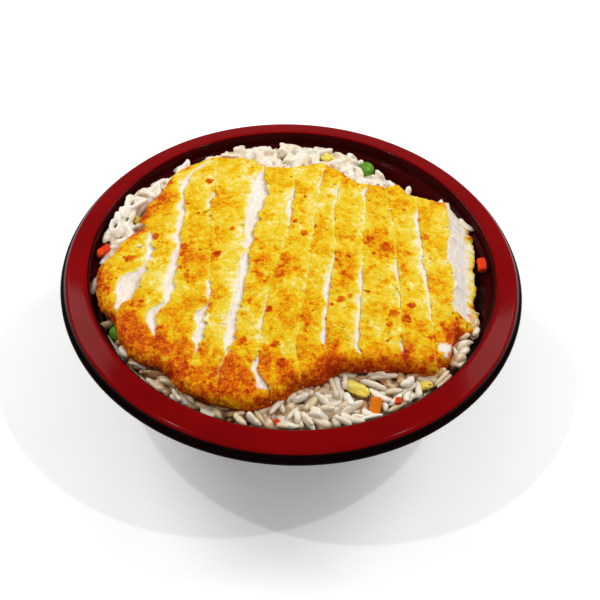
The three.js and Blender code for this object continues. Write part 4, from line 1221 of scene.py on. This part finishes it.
def make_grains(material):
    """The grains that show. Low ones are stuck together, and those on top near the viewer stay apart."""
    rng = np.random.default_rng(RICE_SEED)
    heap = Heap()
    for x, y, _ in PEAS:
        heap.block(x, y, PEA_R + PEA_CLEAR)
    for scrap in CARROTS + EGGS:
        heap.block(*scrap["at"][:2], 0.36 * max(scrap["size"][:2]) + SCRAP_CLEAR)
    lone = []
    for x, y, below, yaw, slope in LONE_GRAINS:
        turned = math.radians(yaw), math.atan(slope)
        lone.append([x, y, RIM_Z - below, *turned, GRAIN_L * LONE_LENGTH, GRAIN_D, LONE_DEPTH])
    placed = np.array(drop_grains(heap, rng) + lone)
    x, y, z, yaw, pitch, length, width, depth = placed.T
    shapes, tip, quads, caps = grain_shape(rng, len(placed), length, width)
    roll = rng.uniform(0, 2 * np.pi, len(placed))
    turn = rotations(yaw, 0, 1) @ rotations(pitch, 0, 2) @ rotations(roll, 1, 2)
    points = np.einsum("nij,nkj->nki", turn, shapes) + xyz(x, y, z)[:, None]
    tone = grain_tones(rng, x, y, depth)
    on_top = (depth < CRISP_DEPTH) & (y < CRISP_SIDE)
    each = shapes.shape[1]

    def faces_of(count, start):
        shift = start + each * np.arange(count)[:, None, None]
        return [(quads + shift).reshape(-1, 4), (caps + shift).reshape(-1, 3)]

    low, top_count = np.flatnonzero(~on_top), on_top.sum()
    loose = add_mesh("loose_grains", points[low].reshape(-1, 3), faces_of(len(low), 0), material)
    skin, skin_quads = fused(loose, GRAIN_FINENESS)
    ahead = xyz(np.cos(yaw) * np.cos(pitch), np.sin(yaw) * np.cos(pitch), np.sin(pitch))
    grain, along = nearest_grain(skin, placed[low, :3], (ahead * length[:, None] / 2)[low])
    all_points = np.concatenate([skin, points[on_top].reshape(-1, 3)])
    values = {
        "tone": np.concatenate([tone[low][grain], np.repeat(tone[on_top], each)]),
        "tip": np.concatenate([np.clip(np.abs(along), 0, 1) ** 3, np.tile(tip, top_count)]),
        "soft": np.concatenate([np.full(len(skin), SKIN_SOFT), np.full(top_count * each, CRISP_SOFT)]),
    }
    faces = [skin_quads, *faces_of(top_count, len(skin))]
    return add_mesh("rice_grains", all_points, faces, material, values)


# Toppings

def turn_and_place(points, scrap):
    """Points made about their own centre, turned by tilt and yaw and moved to their place."""
    tilt, yaw = math.radians(scrap["tilt"]), math.radians(scrap["yaw"])
    turn = Matrix.Rotation(yaw, 3, "Z") @ Matrix.Rotation(tilt, 3, "X")
    x, y, below = scrap["at"]
    return points @ np.array(turn).T + [x, y, RIM_Z - below]


def make_pea(index, material):
    ball, faces = blob(TOPPING_SPLITS)
    x, y, below = PEAS[index]
    radius = PEA_R * (1 + 0.03 * noise(ball + index * 5, 0.9, 140) + 0.015 * noise(ball, 0.35, 141))
    dent = np.exp(-((ball - [0.3, -0.5, 0.81]) ** 2).sum(axis=1) / 0.08)
    points = ball * (radius - 0.35 * dent)[:, None] * [1, 1, 0.95] + [x, y, RIM_Z - below]
    shade = 0.12 * noise(ball * 2, 1.0, 142) + 0.12 * dent
    return add_mesh(f"green_pea_{index + 1}", points, [faces], material, {"shade": shade})


def make_carrot(index, material):
    """A cut piece of carrot: flat faces, softened edges and a faint grain along it."""
    scrap = CARROTS[index]
    ball, faces = blob(TOPPING_SPLITS)
    boxy = ball / (np.abs(ball) ** CARROT_POWER).sum(axis=1, keepdims=True) ** (1 / CARROT_POWER)
    half = np.array(scrap["size"]) / 2
    points = boxy * half
    points = points * (1 + 0.06 * noise(points + index * 9, 2.6, 150)[:, None])
    points[:, 0] += 0.08 * scrap["size"][0] * points[:, 1] / half[1]
    points = points * (1 + 0.06 * noise(points, (0.5, 3, 0.5), 151)[:, None])
    shade = 0.15 * noise(points, 1.6, 152) + scrap["shade"]
    placed = turn_and_place(points, scrap)
    return add_mesh(f"carrot_piece_{index + 1}", placed, [faces], material, {"shade": shade})


def make_egg(index, material):
    """A soft, torn scrap of cooked egg."""
    scrap = EGGS[index]
    ball, faces = blob(TOPPING_SPLITS)
    swell = 1 + 0.38 * noise(ball + index * 4, 0.6, 160) + 0.16 * noise(ball, 0.25, 161)
    points = ball * swell[:, None] * np.array(scrap["size"]) / 2
    points[:, 2] += 0.35 * noise(points + index * 11, 2.4, 162)
    shade = 0.2 * noise(points, 1.8, 163)
    placed = turn_and_place(points, scrap)
    return add_mesh(f"egg_scrap_{index + 1}", placed, [faces], material, {"shade": shade})


# Camera and studio

def make_camera():
    elevation, roll = math.radians(CAMERA_ELEVATION), math.radians(CAMERA_ROLL)
    ahead = Vector((0, math.cos(elevation), -math.sin(elevation)))
    level_up = Vector((0, math.sin(elevation), math.cos(elevation)))
    level_right = Vector((1, 0, 0))
    right = math.cos(roll) * level_right + math.sin(roll) * level_up
    up = -math.sin(roll) * level_right + math.cos(roll) * level_up
    place = Vector((0, 0, RIM_Z)) - AIM_RIGHT * right - AIM_UP * up - CAMERA_DISTANCE * ahead
    data = bpy.data.cameras.new("camera")
    data.lens = LENS_MM
    data.sensor_width = SENSOR_MM
    data.clip_start = 0.01
    camera = bpy.data.objects.new("camera", data)
    turn = Matrix((right, up, -ahead)).transposed().to_4x4()
    camera.matrix_world = Matrix.Translation(place * MM) @ turn
    bpy.context.scene.collection.objects.link(camera)
    bpy.context.scene.camera = camera


def add_light(name, direction, distance, size, watts):
    """A square white light that looks at the middle of the rim, with its lengths in metres."""
    data = bpy.data.lights.new(name, "AREA")
    data.shape = "SQUARE"
    data.size = size
    data.energy = watts
    lamp = bpy.data.objects.new(name, data)
    away = Vector(direction).normalized()
    lamp.location = Vector((0, 0, RIM_Z * MM)) + away * distance
    lamp.rotation_mode = "QUATERNION"
    lamp.rotation_quaternion = (-away).to_track_quat("-Z", "Y")
    bpy.context.scene.collection.objects.link(lamp)


def make_studio():
    for light in LIGHTS:
        add_light(*light)
    world = bpy.data.worlds.new("studio")
    world.use_nodes = True
    sky = world.node_tree.nodes["Background"].inputs
    sky["Color"].default_value = (1, 1, 1, 1)
    sky["Strength"].default_value = SKY_STRENGTH
    bpy.context.scene.world = world
    look = Look("pale_floor")
    tint = look.ramp(look.texture(40), [[0.3, (246, 246, 245)], [0.7, (250, 250, 249)]])
    look.set(Base_Color=tint, Roughness=0.9, Emission_Color=(1, 1, 1, 1), Emission_Strength=0.22)
    corners = FLOOR_HALF * np.array([[-1, -1, 0], [1, -1, 0], [1, 1, 0], [-1, 1, 0]])
    floor = add_mesh("floor", corners, [np.array([[0, 1, 2, 3]])], look.material)
    bpy.context.scene.view_settings.view_transform = "Standard"


make_camera()
make_studio()

plastic = plastic_look()
crust = crust_look()
rice = rice_look()
pea_skin = topping_look("green_pea", [
    [0.25, (62, 112, 18)], [0.5, (88, 146, 32)], [0.8, (140, 190, 70)]], 2.2, 0.22)
carrot_flesh = topping_look("cooked_carrot", [
    [0.2, (206, 30, 2)], [0.5, (218, 60, 3)], [0.8, (222, 118, 8)]], 1.6, 0.28)
egg_flesh = topping_look("cooked_egg", [
    [0.25, (214, 178, 54)], [0.5, (232, 208, 84)], [0.8, (244, 232, 150)]], 1.4, 0.35)

dress(make_bowl(plastic), "bowl_plastic", "bowl")
crumb_places = []
for number in range(len(CUTS) + 1):
    strip, places = make_strip(number, crust)
    dress(strip, "crumbed_chicken", f"chicken_strip_{number + 1:02d}")
    crumb_places.append(places)
dress(make_flakes(crumb_places, crust), "crumbed_chicken")
dress(make_core(rice), "cooked_rice", "rice")
dress(make_grains(rice), "cooked_rice", "rice")
for make, scraps, look, slot, node in (
    (make_pea, PEAS, pea_skin, "green_pea", "pea"),
    (make_carrot, CARROTS, carrot_flesh, "cooked_carrot", "carrot"),
    (make_egg, EGGS, egg_flesh, "cooked_egg", "egg"),
):
    for number in range(len(scraps)):
        dress(make(number, look), slot, f"{node}_{number + 1}")
